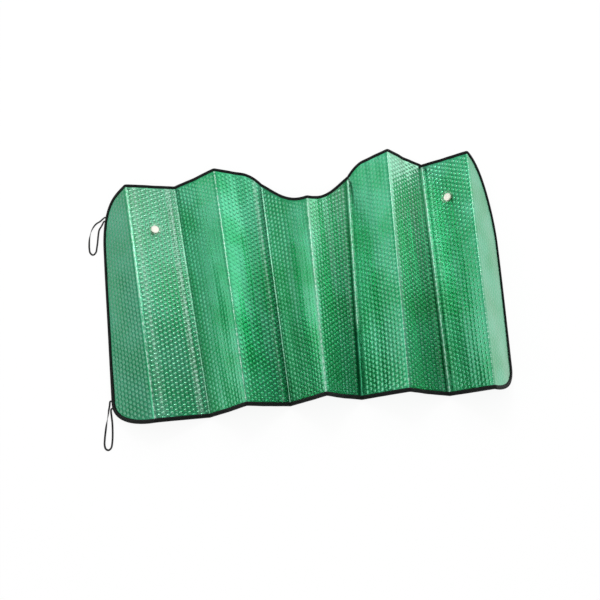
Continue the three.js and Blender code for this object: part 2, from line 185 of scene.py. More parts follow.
def folded(u, v, w=0.0):
    """Places in space of flat points, with rounded fold lines, and the film's normals there."""
    u, v, w = np.broadcast_arrays(*(np.asarray(value, float) for value in (u, v, w)))
    fold = np.clip(np.rint(u / PANEL_WIDTH), 1, PANEL_COUNT - 1).astype(int)
    beyond = u - fold * PANEL_WIDTH

    def line(index):
        return FOOT_ENDS[index] + LINE_SLOPES[index] * v[..., None]

    here = line(fold)
    before = (here - line(fold - 1)) / PANEL_WIDTH
    after = (line(fold + 1) - here) / PANEL_WIDTH
    turn = np.clip((beyond + CREASE_RADIUS) / (2 * CREASE_RADIUS), 0, 1)
    past = np.where(beyond > CREASE_RADIUS, beyond, CREASE_RADIUS * turn ** 2)[..., None]
    turn = turn[..., None]
    place = here + before * (beyond[..., None] - past) + after * past
    across = before * (1 - turn) + after * turn
    slope_before = (LINE_SLOPES[fold] - LINE_SLOPES[fold - 1]) / PANEL_WIDTH
    slope_after = (LINE_SLOPES[fold + 1] - LINE_SLOPES[fold]) / PANEL_WIDTH
    up = LINE_SLOPES[fold] + slope_before * (beyond[..., None] - past) + slope_after * past
    normal = np.cross(across, up)
    normal /= np.linalg.norm(normal, axis=-1, keepdims=True)
    step = 0.5 * MM
    slope_across = (swell(u + step, v) - swell(u - step, v)) / (2 * step)
    slope_up = (swell(u, v + step) - swell(u, v - step)) / (2 * step)
    facing = normal - across * slope_across[..., None] - up * slope_up[..., None]
    return place + normal * (w + swell(u, v))[..., None], facing, across, up


def bezier(points, count):
    """Points of a quadratic or cubic Bezier curve, without its last one."""
    points = np.array(points, float)
    t = np.arange(count)[:, None] / count
    while len(points) > 1:
        if points.ndim == 2:
            points = np.repeat(points[:, None, :], count, axis=1)
        points = points[:-1] * (1 - t) + points[1:] * t
    return points[0]


def end_curve(side):
    """One end of the sheet from its foot fold round to its top fold, with u as the distance in."""
    foot = (side["foot_inset"], FOOT_CORNER_HEIGHT)
    shoulder = (side["shoulder_inset"], SHEET_HEIGHT - side["shoulder_drop"])
    foot_fold = (PANEL_WIDTH, FOOT_EDGE_END)
    top_fold = (PANEL_WIDTH, SHEET_HEIGHT + TOP_EDGE_END)
    along, up = FOOT_CORNER_HANDLES
    bow = ((foot[0] + shoulder[0]) / 2 - SIDE_BOW, (foot[1] + shoulder[1]) / 2)
    rise = (shoulder[0] + TOP_CORNER_SIDE_HANDLE[0], shoulder[1] + TOP_CORNER_SIDE_HANDLE[1])
    crest = (top_fold[0] - TOP_CORNER_CREST_HANDLE[0], top_fold[1] - TOP_CORNER_CREST_HANDLE[1])
    return np.concatenate((
        bezier((foot_fold, (foot_fold[0] - along, foot_fold[1]), (foot[0], foot[1] - up), foot), 200),
        bezier((foot, bow, shoulder), 200),
        bezier((shoulder, rise, crest, top_fold), 200),
        [top_fold]))


def foot_curve():
    control = (SHEET_WIDTH / 2, 2 * FOOT_EDGE_MIDDLE - FOOT_EDGE_END)
    first = (PANEL_WIDTH, FOOT_EDGE_END)
    last = (SHEET_WIDTH - PANEL_WIDTH, FOOT_EDGE_END)
    return np.concatenate((bezier((first, control, last), 1200), [last]))


def top_curve():
    middle = SHEET_WIDTH / 2
    end = SHEET_HEIGHT + TOP_EDGE_END
    crest = SHEET_HEIGHT + TOP_EDGE_MIDDLE
    floor = crest - NOTCH_DEPTH
    start = middle - NOTCH_HALF_WIDTH
    belly = (PANEL_WIDTH + start) / 2
    left_half = np.concatenate((
        bezier(((PANEL_WIDTH, end), (belly, crest), (start, crest)), 400),
        bezier(((start, crest), (start + NOTCH_SHOULDER, crest), (middle - NOTCH_FLOOR, floor),
                (middle, floor)), 400)))
    right_half = left_half[::-1] * (-1, 1) + (SHEET_WIDTH, 0)
    return np.concatenate((left_half, [(middle, floor)], right_half))


def spaced(line, spacing, closed=False):
    """The points of a line spread evenly, about a spacing apart, with both ends kept."""
    line = np.asarray(line, float)
    if closed:
        line = np.concatenate((line, line[:1]))
    steps = np.linalg.norm(np.diff(line, axis=0), axis=1)
    reach = np.concatenate(([0], np.cumsum(steps)))
    count = max(int(round(reach[-1] / spacing)), 1)
    wanted = np.linspace(0, reach[-1], count + 1)
    points = np.stack([np.interp(wanted, reach, line[:, axis]) for axis in range(line.shape[1])], 1)
    return points[:-1] if closed else points


FOOT_CURVE = foot_curve()
TOP_CURVE = top_curve()
LEFT_END = end_curve(LEFT_SIDE)
RIGHT_END = end_curve(RIGHT_SIDE) * (-1, 1) + (SHEET_WIDTH, 0)
CUT_EDGE = np.concatenate((FOOT_CURVE, RIGHT_END[1:-1], TOP_CURVE[::-1], LEFT_END[::-1][1:-1]))


def height_on(curve, u):
    return np.interp(u, curve[:, 0], curve[:, 1])


def fold_points(fold, spacing):
    """Points up one fold line, from the foot edge to the top edge."""
    u = fold * PANEL_WIDTH
    low, high = height_on(FOOT_CURVE, u), height_on(TOP_CURVE, u)
    count = int(round((high - low) / spacing))
    return np.stack((np.full(count + 1, u), np.linspace(low, high, count + 1)), 1)


def panel_border(panel, spacing, fold_spacing):
    """The flat border of one panel, anticlockwise, sharing its fold points with its neighbours."""
    if panel == 0:
        return np.concatenate((
            fold_points(1, fold_spacing)[:-1], spaced(LEFT_END[::-1], spacing)[:-1]))
    if panel == PANEL_COUNT - 1:
        return np.concatenate((
            spaced(RIGHT_END, spacing)[:-1], fold_points(panel, fold_spacing)[::-1][:-1]))
    u = np.linspace(panel * PANEL_WIDTH, (panel + 1) * PANEL_WIDTH, int(PANEL_WIDTH / spacing) + 1)
    return np.concatenate((
        np.stack((u, height_on(FOOT_CURVE, u)), 1)[:-1],
        fold_points(panel + 1, fold_spacing)[:-1],
        np.stack((u, height_on(TOP_CURVE, u)), 1)[::-1][:-1],
        fold_points(panel, fold_spacing)[::-1][:-1]))


def inside(points, polygon):
    """Which flat points lie in a polygon."""
    x, y = points[:, 0], points[:, 1]
    found = np.zeros(len(points), bool)
    for (ax, ay), (bx, by) in zip(polygon, np.roll(polygon, -1, axis=0)):
        if ay == by:
            continue
        crosses = (ay > y) != (by > y)
        found ^= crosses & (x < ax + (y - ay) * (bx - ax) / (by - ay))
    return found


def edge_tree():
    """A search tree of the cut edge, for a point's distance from it."""
    points = spaced(CUT_EDGE, 1 * MM, closed=True)
    tree = kdtree.KDTree(len(points))
    for index, (u, v) in enumerate(points):
        tree.insert((u, v, 0), index)
    tree.balance()
    return tree


def edge_distances(points):
    tree = edge_tree()
    return np.array([tree.find((u, v, 0))[2] for u, v in points])


def smooth_step(value):
    value = np.clip(value, 0, 1)
    return value * value * (3 - 2 * value)


def filled_sheet(spacing, fold_spacing, points_in_panel):
    """Flat points and triangles of the whole sheet, with each panel's own inner points."""
    points, triangles, index_of = [], [], {}
    for panel in range(PANEL_COUNT):
        border = panel_border(panel, spacing, fold_spacing)
        inner = points_in_panel(panel, border)
        flat = np.concatenate((border, inner))
        count = len(border)
        edges = [(index, (index + 1) % count) for index in range(count)]
        corners, _, faces, *_ = delaunay_2d_cdt(
            [Vector(point) for point in flat / PANEL_WIDTH], edges, [], 1, 1e-6)
        numbers = []
        for corner in corners:
            u, v = corner.x * PANEL_WIDTH, corner.y * PANEL_WIDTH
            # Points that share a cell of 0.02 mm are one point
            key = (round(u * 50000), round(v * 50000))
            if key not in index_of:
                index_of[key] = len(points)
                points.append((u, v))
            numbers.append(index_of[key])
        for face in faces:
            a, b, c = (numbers[corner] for corner in face)
            if len({a, b, c}) == 3:
                triangles.append((a, b, c))
    return np.array(points), triangles


# Making objects and materials

def new_object(name, vertices, faces, material):
    """A smooth mesh object that rides on the part."""
    mesh = bpy.data.meshes.new(name)
    mesh.from_pydata(np.asarray(vertices).tolist(), [], faces)
    mesh.update()
    mesh.materials.append(material)
    mesh.polygons.foreach_set("use_smooth", [True] * len(mesh.polygons))
    made = bpy.data.objects.new(name, mesh)
    bpy.context.collection.objects.link(made)
    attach(made, BODY)
    return made


def add_flat_map(made, name, coordinates):
    """Keeps flat coordinates, in metres, as the mesh's UV map for the patterns of its material."""
    mesh = made.data
    corners = np.empty(len(mesh.loops), int)
    mesh.loops.foreach_get("vertex_index", corners)
    layer = mesh.uv_layers.new(name=name)
    layer.uv.foreach_set("vector", np.asarray(coordinates, np.float32)[corners].ravel())


def swept(rings, closed_path):
    """Vertices and quads between rings of equal size."""
    count, size = len(rings), len(rings[0])
    vertices = np.concatenate(rings)
    faces = []
    for ring in range(count if closed_path else count - 1):
        here, there = ring * size, (ring + 1) % count * size
        for corner in range(size):
            after = (corner + 1) % size
            faces.append((here + corner, there + corner, there + after, here + after))
    return vertices, faces


def linear(colour):
    """Linear RGBA of an sRGB hex value such as "4fae7f"."""
    channels = [int(colour[start:start + 2], 16) / 255 for start in (0, 2, 4)]
    straight = [c / 12.92 if c <= 0.04045 else ((c + 0.055) / 1.055) ** 2.4 for c in channels]
    return (*straight, 1.0)


def add_node(tree, kind, values=None, **settings):
    """Adds a node, sets its fields, and fills or links its sockets by name or number."""
    made = tree.nodes.new(kind)
    for field, value in settings.items():
        setattr(made, field, value)
    for socket, value in (values or {}).items():
        if isinstance(value, bpy.types.NodeSocket):
            tree.links.new(value, made.inputs[socket])
        else:
            made.inputs[socket].default_value = value
    return made


def new_material(name):
    made = bpy.data.materials.new(name)
    made.use_nodes = True
    made.node_tree.nodes.clear()
    return made, made.node_tree


def vacuum_metallised_polyester_film(settings):
    """Green-lacquered polyester film, vacuum coated with aluminium and laminated hot over bubbles: a
    coloured mirror with a soft sheen, puckered finely where it was stretched."""
    made, tree = new_material("vacuum_metallised_polyester_film")
    flat = add_node(tree, "ShaderNodeUVMap", uv_map="flat").outputs["UV"]
    # The lacquer's depth drifts over hand-wide areas
    drift = add_node(tree, "ShaderNodeTexNoise", {
        "Vector": flat, "Scale": 1 / (90 * MM), "Detail": 2.0, "Roughness": 0.5})
    colour = add_node(tree, "ShaderNodeValToRGB", {"Fac": drift.outputs["Fac"]})
    colour.color_ramp.elements[0].position = 0.36
    colour.color_ramp.elements[0].color = linear(settings.film_deep_colour)
    colour.color_ramp.elements[1].position = 0.6
    colour.color_ramp.elements[1].color = linear(settings.film_colour)
    # Bubble tops and some panels are painted paler than the web: painted highlights for the glints on
    # the domes and for pale reflections on those panels
    painted_dome_highlight = add_node(tree, "ShaderNodeAttribute", attribute_name="painted_dome_highlight")
    highlight_share = add_node(tree, "ShaderNodeMapRange", {
        "Value": painted_dome_highlight.outputs["Fac"], "From Min": 0.15, "From Max": 0.85, "To Max": 0.56})
    highlighted_colour = add_node(tree, "ShaderNodeMix", {
        "Factor": highlight_share.outputs["Result"], "A": colour.outputs["Color"],
        "B": linear(settings.painted_highlight_colour)}, data_type="RGBA")
    # Along the folds the film is painted paler in dashes of about 4 mm, partly worn lacquer and partly
    # painted highlight of the creases, with painted glints speckled beside some folds, and painted shade
    # darkens the sharp creases beside the widest folds and strips beside the valleys
    wear_and_painted_light = add_node(tree, "ShaderNodeAttribute", attribute_name="wear_and_painted_light")
    dash_noise = add_node(tree, "ShaderNodeTexNoise", {
        "Vector": flat, "Scale": 1 / (7 * MM), "Detail": 1.0, "Roughness": 0.5})
    dash_mask = add_node(tree, "ShaderNodeMapRange", {
        "Value": dash_noise.outputs["Fac"], "From Min": 0.45, "From Max": 0.57, "To Min": 0.25})
    pale_wear_and_glint = add_node(tree, "ShaderNodeMath", {
        0: wear_and_painted_light.outputs["Fac"], 1: dash_mask.outputs["Result"]}, operation="MULTIPLY", use_clamp=True)
    worn_and_glint_colour = add_node(tree, "ShaderNodeMix", {
        "Factor": pale_wear_and_glint.outputs["Value"], "A": highlighted_colour.outputs["Result"],
        "B": linear(settings.worn_and_glint_colour)}, data_type="RGBA")
    crease_shade_mask = add_node(tree, "ShaderNodeMath", {
        0: wear_and_painted_light.outputs["Fac"], 1: -1.0}, operation="MULTIPLY", use_clamp=True)
    shaded_crease_mix = add_node(tree, "ShaderNodeMix", {
        "Factor": crease_shade_mask.outputs["Value"], "A": worn_and_glint_colour.outputs["Result"],
        "B": linear(settings.crease_shade_colour)}, data_type="RGBA")
    # Puckers of the stretched film, about 2 mm apart, and rubbed spots that are a little duller
    puckers = add_node(tree, "ShaderNodeTexNoise", {
        "Vector": flat, "Scale": 1 / (2.2 * MM), "Detail": 3.0, "Roughness": 0.6})
    dull = add_node(tree, "ShaderNodeMapRange", {
        "Value": puckers.outputs["Fac"], "From Min": 0.3, "From Max": 0.7,
        "To Min": 0.2, "To Max": 0.32})
    roughness = add_node(tree, "ShaderNodeMath", {
        0: pale_wear_and_glint.outputs["Value"], 1: 0.28, 2: dull.outputs["Result"]}, operation="MULTIPLY_ADD")
    bump = add_node(tree, "ShaderNodeBump", {
        "Height": puckers.outputs["Fac"], "Strength": 0.35, "Distance": 0.25 * MM})
    skin = add_node(tree, "ShaderNodeBsdfPrincipled", {
        "Base Color": shaded_crease_mix.outputs["Result"], "Metallic": 1.0,
        "Roughness": roughness.outputs["Value"], "Normal": bump.outputs["Normal"],
        "Coat Weight": 0.6, "Coat Roughness": 0.13,
        "Coat IOR": 1.5})
    add_node(tree, "ShaderNodeOutputMaterial", {"Surface": skin.outputs["BSDF"]})
    return made


def woven_polyester_binding(settings):
    """Black polyester tape, woven plain and folded over the edge: matt, with fine cross ribs."""
    made, tree = new_material("woven_polyester_binding")
    flat = add_node(tree, "ShaderNodeUVMap", uv_map="flat").outputs["UV"]
    # Ribs of the weft are 0.6 mm apart on a real tape, drawn at 1.2 mm so that they show
    ribs = add_node(tree, "ShaderNodeTexWave", {
        "Vector": flat, "Scale": WAVE_SCALE / (1.2 * MM), "Distortion": 0.6, "Detail": 1.0,
        "Detail Scale": 4.0}, wave_type="BANDS", bands_direction="X")
    ends = add_node(tree, "ShaderNodeTexWave", {
        "Vector": flat, "Scale": WAVE_SCALE / (1.0 * MM), "Distortion": 0.4, "Detail": 1.0},
        wave_type="BANDS", bands_direction="Y")
    weave = add_node(tree, "ShaderNodeMath", {
        0: ribs.outputs["Fac"], 1: ends.outputs["Fac"]}, operation="MULTIPLY")
    colour = add_node(tree, "ShaderNodeValToRGB", {"Fac": weave.outputs["Value"]})
    colour.color_ramp.elements[0].color = linear(settings.tape_shadow_colour)
    colour.color_ramp.elements[1].color = linear(settings.tape_colour)
    bump = add_node(tree, "ShaderNodeBump", {
        "Height": weave.outputs["Value"], "Strength": 0.7, "Distance": 0.3 * MM})
    cloth = add_node(tree, "ShaderNodeBsdfPrincipled", {
        "Base Color": colour.outputs["Color"], "Roughness": 0.78, "Normal": bump.outputs["Normal"],
        "Sheen Weight": 0.04, "Sheen Roughness": 0.5, "Specular IOR Level": 0.2})
    add_node(tree, "ShaderNodeOutputMaterial", {"Surface": cloth.outputs["BSDF"]})
    return made


def spun_polyester_thread(settings):
    """Black spun polyester sewing thread: twisted, so its short stitches glint a little."""
    made, tree = new_material("spun_polyester_thread")
    place = add_node(tree, "ShaderNodeTexCoord").outputs["Object"]
    fibres = add_node(tree, "ShaderNodeTexNoise", {"Vector": place, "Scale": 1 / (0.7 * MM)})
    bump = add_node(tree, "ShaderNodeBump", {
        "Height": fibres.outputs["Fac"], "Strength": 0.5, "Distance": 0.1 * MM})
    colour = add_node(tree, "ShaderNodeMix", {
        "Factor": fibres.outputs["Fac"], "A": linear(settings.tape_shadow_colour),
        "B": linear(settings.thread_colour)}, data_type="RGBA")
    thread = add_node(tree, "ShaderNodeBsdfPrincipled", {
        "Base Color": colour.outputs["Result"], "Roughness": 0.5, "Normal": bump.outputs["Normal"],
        "Sheen Weight": 0.2})
    add_node(tree, "ShaderNodeOutputMaterial", {"Surface": thread.outputs["BSDF"]})
    return made


def braided_elastic(settings):
    """Flat elastic braided of black polyester over rubber: matt, with a plaited chevron face."""
    made, tree = new_material("braided_elastic")
    flat = add_node(tree, "ShaderNodeUVMap", uv_map="flat").outputs["UV"]
    parts = add_node(tree, "ShaderNodeSeparateXYZ", {"Vector": flat})
    # Each plait crosses the ribbon from its middle: distance along plus distance from the middle
    off_middle = add_node(tree, "ShaderNodeMath", {0: parts.outputs["Y"]}, operation="ABSOLUTE")
    slant = add_node(tree, "ShaderNodeMath", {
        0: parts.outputs["X"], 1: off_middle.outputs["Value"]}, operation="ADD")
    # Plaits 1.6 mm apart
    turn = add_node(tree, "ShaderNodeMath", {
        0: slant.outputs["Value"], 1: 2 * math.pi / (1.6 * MM)}, operation="MULTIPLY")
    plait = add_node(tree, "ShaderNodeMath", {0: turn.outputs["Value"]}, operation="SINE")
    level = add_node(tree, "ShaderNodeMapRange", {
        "Value": plait.outputs["Value"], "From Min": -1.0, "From Max": 1.0})
    colour = add_node(tree, "ShaderNodeValToRGB", {"Fac": level.outputs["Result"]})
    colour.color_ramp.elements[0].color = linear(settings.tape_shadow_colour)
    colour.color_ramp.elements[1].color = linear(settings.elastic_colour)
    bump = add_node(tree, "ShaderNodeBump", {
        "Height": level.outputs["Result"], "Strength": 0.8, "Distance": 0.3 * MM})
    cloth = add_node(tree, "ShaderNodeBsdfPrincipled", {
        "Base Color": colour.outputs["Color"], "Roughness": 0.7, "Normal": bump.outputs["Normal"],
        "Sheen Weight": 0.25, "Sheen Roughness": 0.4})
    add_node(tree, "ShaderNodeOutputMaterial", {"Surface": cloth.outputs["BSDF"]})
    return made


def moulded_pvc(name, settings, clearness):
    """Soft PVC, injection moulded clear: a thin flange shows what is behind it, the thick hub is
    milky, and both have a wet shine."""
    made, tree = new_material(name)
    place = add_node(tree, "ShaderNodeTexCoord").outputs["Object"]
    clouds = add_node(tree, "ShaderNodeTexNoise", {"Vector": place, "Scale": 1 / (8 * MM)})
    colour = add_node(tree, "ShaderNodeValToRGB", {"Fac": clouds.outputs["Fac"]})
    colour.color_ramp.elements[0].color = linear(settings.cup_cloud_colour)
    colour.color_ramp.elements[1].color = linear(settings.cup_colour)
    flow = add_node(tree, "ShaderNodeTexNoise", {
        "Vector": place, "Scale": 1 / (4 * MM), "Detail": 1.0})
    bump = add_node(tree, "ShaderNodeBump", {
        "Height": flow.outputs["Fac"], "Strength": 0.2, "Distance": 0.2 * MM})
    pvc = add_node(tree, "ShaderNodeBsdfPrincipled", {
        "Base Color": colour.outputs["Color"], "Roughness": 0.09, "IOR": 1.53,
        "Transmission Weight": clearness, "Normal": bump.outputs["Normal"]})
    through = add_node(tree, "ShaderNodeBsdfTransparent")
    both = add_node(tree, "ShaderNodeMixShader", {
        0: clearness, 1: pvc.outputs["BSDF"], 2: through.outputs["BSDF"]})
    add_node(tree, "ShaderNodeOutputMaterial", {"Surface": both.outputs["Shader"]})
    return made


# Settings that a user would change

class SheetSettings(bpy.types.PropertyGroup):
    bubble_radius: bpy.props.FloatProperty(
        name="Bubble radius", description="Radius of a bubble at its foot",
        default=4.9 * MM, min=2 * MM, max=5.2 * MM, unit="LENGTH")
    bubble_height: bpy.props.FloatProperty(
        name="Bubble height", description="Height of a bubble over the flat web",
        default=2.7 * MM, min=0.5 * MM, max=4 * MM, unit="LENGTH")
    column_spacing: bpy.props.FloatProperty(
        name="Column spacing", description="Distance between columns of bubbles",
        default=10.4 * MM, min=6 * MM, max=20 * MM, unit="LENGTH")
    bubble_pitch: bpy.props.FloatProperty(
        name="Bubble pitch", description="Distance between bubbles up a column",
        default=11.5 * MM, min=6 * MM, max=20 * MM, unit="LENGTH")
    film_colour: bpy.props.StringProperty(
        name="Film colour", description="Colour of the film's lacquer, as sRGB hex", default="46b586")
    film_deep_colour: bpy.props.StringProperty(
        name="Deep film colour", description="Its colour where the lacquer is thick", default="22a468")
    # Painted highlight: the bubble tops are painted towards this colour
    painted_highlight_colour: bpy.props.StringProperty(
        name="Dome colour", description="Its colour on top of a bubble", default="b4e6cc")
    # Painted shade: the creases and the strips beside the folds are painted towards this colour
    crease_shade_colour: bpy.props.StringProperty(
        name="Crease colour", description="Its colour in a sharp crease", default="0e5440")
    # Partly worn and partly painted highlight: the folds are painted towards this colour
    worn_and_glint_colour: bpy.props.StringProperty(
        name="Worn colour", description="Colour of the cracked folds", default="c2e8d6")


class TrimSettings(bpy.types.PropertyGroup):
    stitch_length: bpy.props.FloatProperty(
        name="Stitch length", description="Length of one stitch", default=3.2 * MM, unit="LENGTH")
    stitch_pitch: bpy.props.FloatProperty(
        name="Stitch pitch", description="Distance from stitch to stitch", default=4.2 * MM,
        min=1 * MM, unit="LENGTH")
    elastic_width: bpy.props.FloatProperty(
        name="Elastic width", description="Width of the flat elastic", default=4.5 * MM,
        unit="LENGTH")
    elastic_thickness: bpy.props.FloatProperty(
        name="Elastic thickness", description="Thickness of the flat elastic", default=1.2 * MM,
        unit="LENGTH")
    tape_colour: bpy.props.StringProperty(
        name="Tape colour", description="Colour of the tape's raised threads, as sRGB hex",
        default="0c0f0e")
    tape_shadow_colour: bpy.props.StringProperty(
        name="Tape shadow colour", description="Colour between its threads", default="030404")
    thread_colour: bpy.props.StringProperty(
        name="Thread colour", description="Colour of the sewing thread", default="1c1f1f")
    elastic_colour: bpy.props.StringProperty(
        name="Elastic colour", description="Colour of the elastic's plaits", default="191b1c")


class CupSettings(bpy.types.PropertyGroup):
    cup_radius: bpy.props.FloatProperty(
        name="Cup radius", description="Radius of a cup's rim", default=16 * MM, unit="LENGTH")
    cup_height: bpy.props.FloatProperty(
        name="Cup height", description="Height of a cup's rim over the film", default=8 * MM,
        unit="LENGTH")
    hub_radius: bpy.props.FloatProperty(
        name="Hub radius", description="Radius of a cup's milky hub", default=10 * MM, unit="LENGTH")
    cup_colour: bpy.props.StringProperty(
        name="Cup colour", description="Colour of the clear PVC, as sRGB hex", default="f6f4ea")
    cup_cloud_colour: bpy.props.StringProperty(
        name="Cup cloud colour", description="Colour where the PVC is cloudy", default="e9e6d8")


class StageSettings(bpy.types.PropertyGroup):
    floor_size: bpy.props.FloatProperty(
        name="Floor size", description="Side of the square floor", default=8.0, unit="LENGTH")
    floor_colour: bpy.props.StringProperty(
        name="Floor colour", description="Colour of the floor, as sRGB hex", default="f7f7f7")
    key_power: bpy.props.FloatProperty(
        name="Key power", description="Power of the softbox overhead, in watts", default=4.0)
    right_softbox_power: bpy.props.FloatProperty(
        name="Right softbox power", description="Power of the softbox to the right, in watts",
        default=0.7)
    left_screen_level: bpy.props.FloatProperty(
        name="Left screen level", description="Brightness of the screen to the left", default=1.3)
    right_screen_level: bpy.props.FloatProperty(
        name="Right screen level", description="Brightness of the screen to the right", default=1.3)
    ceiling_level: bpy.props.FloatProperty(
        name="Ceiling level", description="Brightness of the room elsewhere", default=0.18)
    front_level: bpy.props.FloatProperty(
        name="Front level", description="Brightness of the room before the shade", default=0.5)


# Pieces

class SHADE_OT_camera(bpy.types.Operator):
    """Sets the camera where the photograph was taken from"""
    bl_idname = "shade.camera"
    bl_label = "Camera"

    def execute(self, context):
        data = bpy.data.cameras.new("shade_camera")
        data.lens = CAMERA_LENS
        data.sensor_width = 36.0
        data.clip_end = 50.0
        camera = bpy.data.objects.new("shade_camera", data)
        context.collection.objects.link(camera)
        last, tilt, first = CAMERA_TURNS
        turn = (Matrix.Rotation(last, 4, "Z") @ Matrix.Rotation(tilt, 4, "X")
                @ Matrix.Rotation(first, 4, "Z"))
        camera.matrix_world = Matrix.Translation(CAMERA_PLACE) @ turn
        context.scene.camera = camera
        return {"FINISHED"}


def beside_left_edge(height, distance):
    """A point outside the left edge, at a height on the sheet, in the plane of its panel."""
    rising = LEFT_END[LEFT_END[:, 0] < PANEL_WIDTH / 2]
    u = np.interp(height, rising[:, 1], rising[:, 0])
    step = 2 * MM
    slope = (np.interp(height + step, rising[:, 1], rising[:, 0])
             - np.interp(height - step, rising[:, 1], rising[:, 0])) / (2 * step)
    outward = np.array((-1.0, slope)) / math.hypot(1, slope)
    return folded(u + outward[0] * distance, height + outward[1] * distance)[0]


def catmull_rom(points, per_span):
    """A centripetal Catmull-Rom curve through points."""
    points = np.asarray(points, float)
    padded = np.concatenate(([2 * points[0] - points[1]], points, [2 * points[-1] - points[-2]]))
    made = []
    for index in range(len(points) - 1):
        p0, p1, p2, p3 = padded[index:index + 4]
        t0, t1 = 0.0, math.sqrt(np.linalg.norm(p1 - p0))
        t2 = t1 + math.sqrt(np.linalg.norm(p2 - p1))
        t3 = t2 + math.sqrt(np.linalg.norm(p3 - p2))
        for t in np.linspace(t1, t2, per_span, endpoint=False):
            a1 = (t1 - t) / (t1 - t0) * p0 + (t - t0) / (t1 - t0) * p1
            a2 = (t2 - t) / (t2 - t1) * p1 + (t - t1) / (t2 - t1) * p2
            a3 = (t3 - t) / (t3 - t2) * p2 + (t - t2) / (t3 - t2) * p3
            b1 = (t2 - t) / (t2 - t0) * a1 + (t - t0) / (t2 - t0) * a2
            b2 = (t3 - t) / (t3 - t1) * a2 + (t - t1) / (t3 - t1) * a3
            made.append((t2 - t) / (t2 - t1) * b1 + (t - t1) / (t2 - t1) * b2)
    made.append(points[-1])
    return np.array(made)


def ribbon_section(width, thickness):
    """A flat elastic's section: two gently crowned faces and round edges."""
    half, thick = width / 2, thickness / 2
    face = np.linspace(-0.8, 0.8, 7)
    top = [(half * x, thick * (1 - 0.18 * x * x)) for x in face]
    right = [(half * 0.95, thick * 0.55), (half, 0.0), (half * 0.95, -thick * 0.55)]
    return np.array(top + right + [(-x, -y) for x, y in top] + [(-x, -y) for x, y in right])


class SHADE_OT_elastic_loops(bpy.types.Operator):
    """Makes the two flat elastic loops of the left edge"""
    bl_idname = "shade.elastic_loops"
    bl_label = "Elastic loops"

    def execute(self, context):
        settings = context.scene.shade_trim
        material = braided_elastic(settings)
        width, thickness = settings.elastic_width, settings.elastic_thickness
        section = ribbon_section(width, thickness)
        for name, loop in LOOPS.items():
            fold_edge = TAPE_SLACK + TAPE_THICKNESS
            leaving, returning = (height * MM for height in loop["heights"])
            first = beside_left_edge(leaving, fold_edge + CLEARANCE)
            last = beside_left_edge(returning, fold_edge + CLEARANCE)
            lying = [(first[0] + x * MM, first[1] + y * MM, LOOP_LYING_HEIGHT)
                     for x, y in loop["points"]]
            path = catmull_rom(
                [first, beside_left_edge(leaving, fold_edge + LOOP_LEAD), *lying,
                 beside_left_edge(returning, fold_edge + LOOP_LEAD), last], LOOP_STEPS)
            path = spaced(path, LOOP_RING_SPACING)
            along = np.gradient(path, axis=0)
            along /= np.linalg.norm(along, axis=1, keepdims=True)
            level = np.cross((0.0, 0.0, 1.0), along)
            level /= np.linalg.norm(level, axis=1, keepdims=True)
            upright = np.cross(along, level)
            share = np.linspace(0, 1, len(path))
            start, end = loop["twisted_between"]
            twist = np.pi * smooth_step((share - start) / (end - start))
            reach = width / 2 * np.abs(np.sin(twist)) + thickness / 2 * np.abs(np.cos(twist))
            path[:, 2] = np.maximum(path[:, 2], reach + LOOP_OVER_FLOOR)
            sideways = level * np.cos(twist)[:, None] + upright * np.sin(twist)[:, None]
            outwards = upright * np.cos(twist)[:, None] - level * np.sin(twist)[:, None]
            rings = [place + section[:, :1] * side + section[:, 1:] * out
                     for place, side, out in zip(path, sideways, outwards)]
            vertices, faces = swept(rings, closed_path=False)
            size, count = len(section), len(rings)
            faces.append(tuple(range(size)))
            faces.append(tuple(range(count * size - 1, (count - 1) * size - 1, -1)))
            made = new_object(name + "_braid", vertices, faces, material)
            steps = np.linalg.norm(np.diff(path, axis=0), axis=1)
            reach_along = np.concatenate(([0], np.cumsum(steps)))
            add_flat_map(made, "flat", np.stack((
                np.repeat(reach_along, size), np.tile(section[:, 0], count)), 1))
            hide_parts(name)
        return {"FINISHED"}


def bubble_centres(settings):
    """Flat places of all bubbles: columns up the sheet, each half a pitch off its neighbours."""
    columns = int(SHEET_WIDTH / settings.column_spacing) + 2
    rows = int(SHEET_HEIGHT / settings.bubble_pitch) + 6
    column, row = np.meshgrid(np.arange(columns), np.arange(rows), indexing="ij")
    u = (column + 0.5) * settings.column_spacing
    v = (row - 2 + 0.5 * (column % 2)) * settings.bubble_pitch
    return np.stack((u.ravel(), v.ravel()), 1)


# A bubble's shoulder ring as shares of its radius and height, and the slopes there and at its foot
SHOULDER_SHARE = 0.6
SHOULDER_HEIGHT = 0.78
SHOULDER_LEAN = 0.5
FOOT_LEAN = 1.1
WEB_LEAN_SHARE = 0.15
# How full the bubbles still are, for each panel at its left and right, at foot, middle and top
PUFF = np.array((
    (0.7, 0.7), (0.75, 0.7), (0.4, 0.3), (0.5, 0.4), (0.45, 0.35), (0.4, 0.45), (0.45, 0.5),
    (0.5, 0.5), (0.4, 0.35), (0.15, 0.15),
    (0.65, 0.7), (0.75, 0.7), (0.3, 0.15), (0.12, 0.45), (0.35, 0.1), (0.35, 0.5), (0.35, 0.5),
    (0.35, 0.45), (0.35, 0.4), (0.15, 0.15),
    (0.65, 0.7), (1.0, 0.9), (0.45, 0.45), (0.35, 0.35), (0.5, 0.35), (0.25, 0.7), (0.4, 0.4),
    (0.35, 0.7), (0.5, 0.55), (0.15, 0.15))).reshape(3, PANEL_COUNT, 2)
# The share of a panel's width at which that begins to change from its left to its right, and over
# how much of the width it does
PUFF_EASE_FROM = 0.2
PUFF_EASE_OVER = 0.6


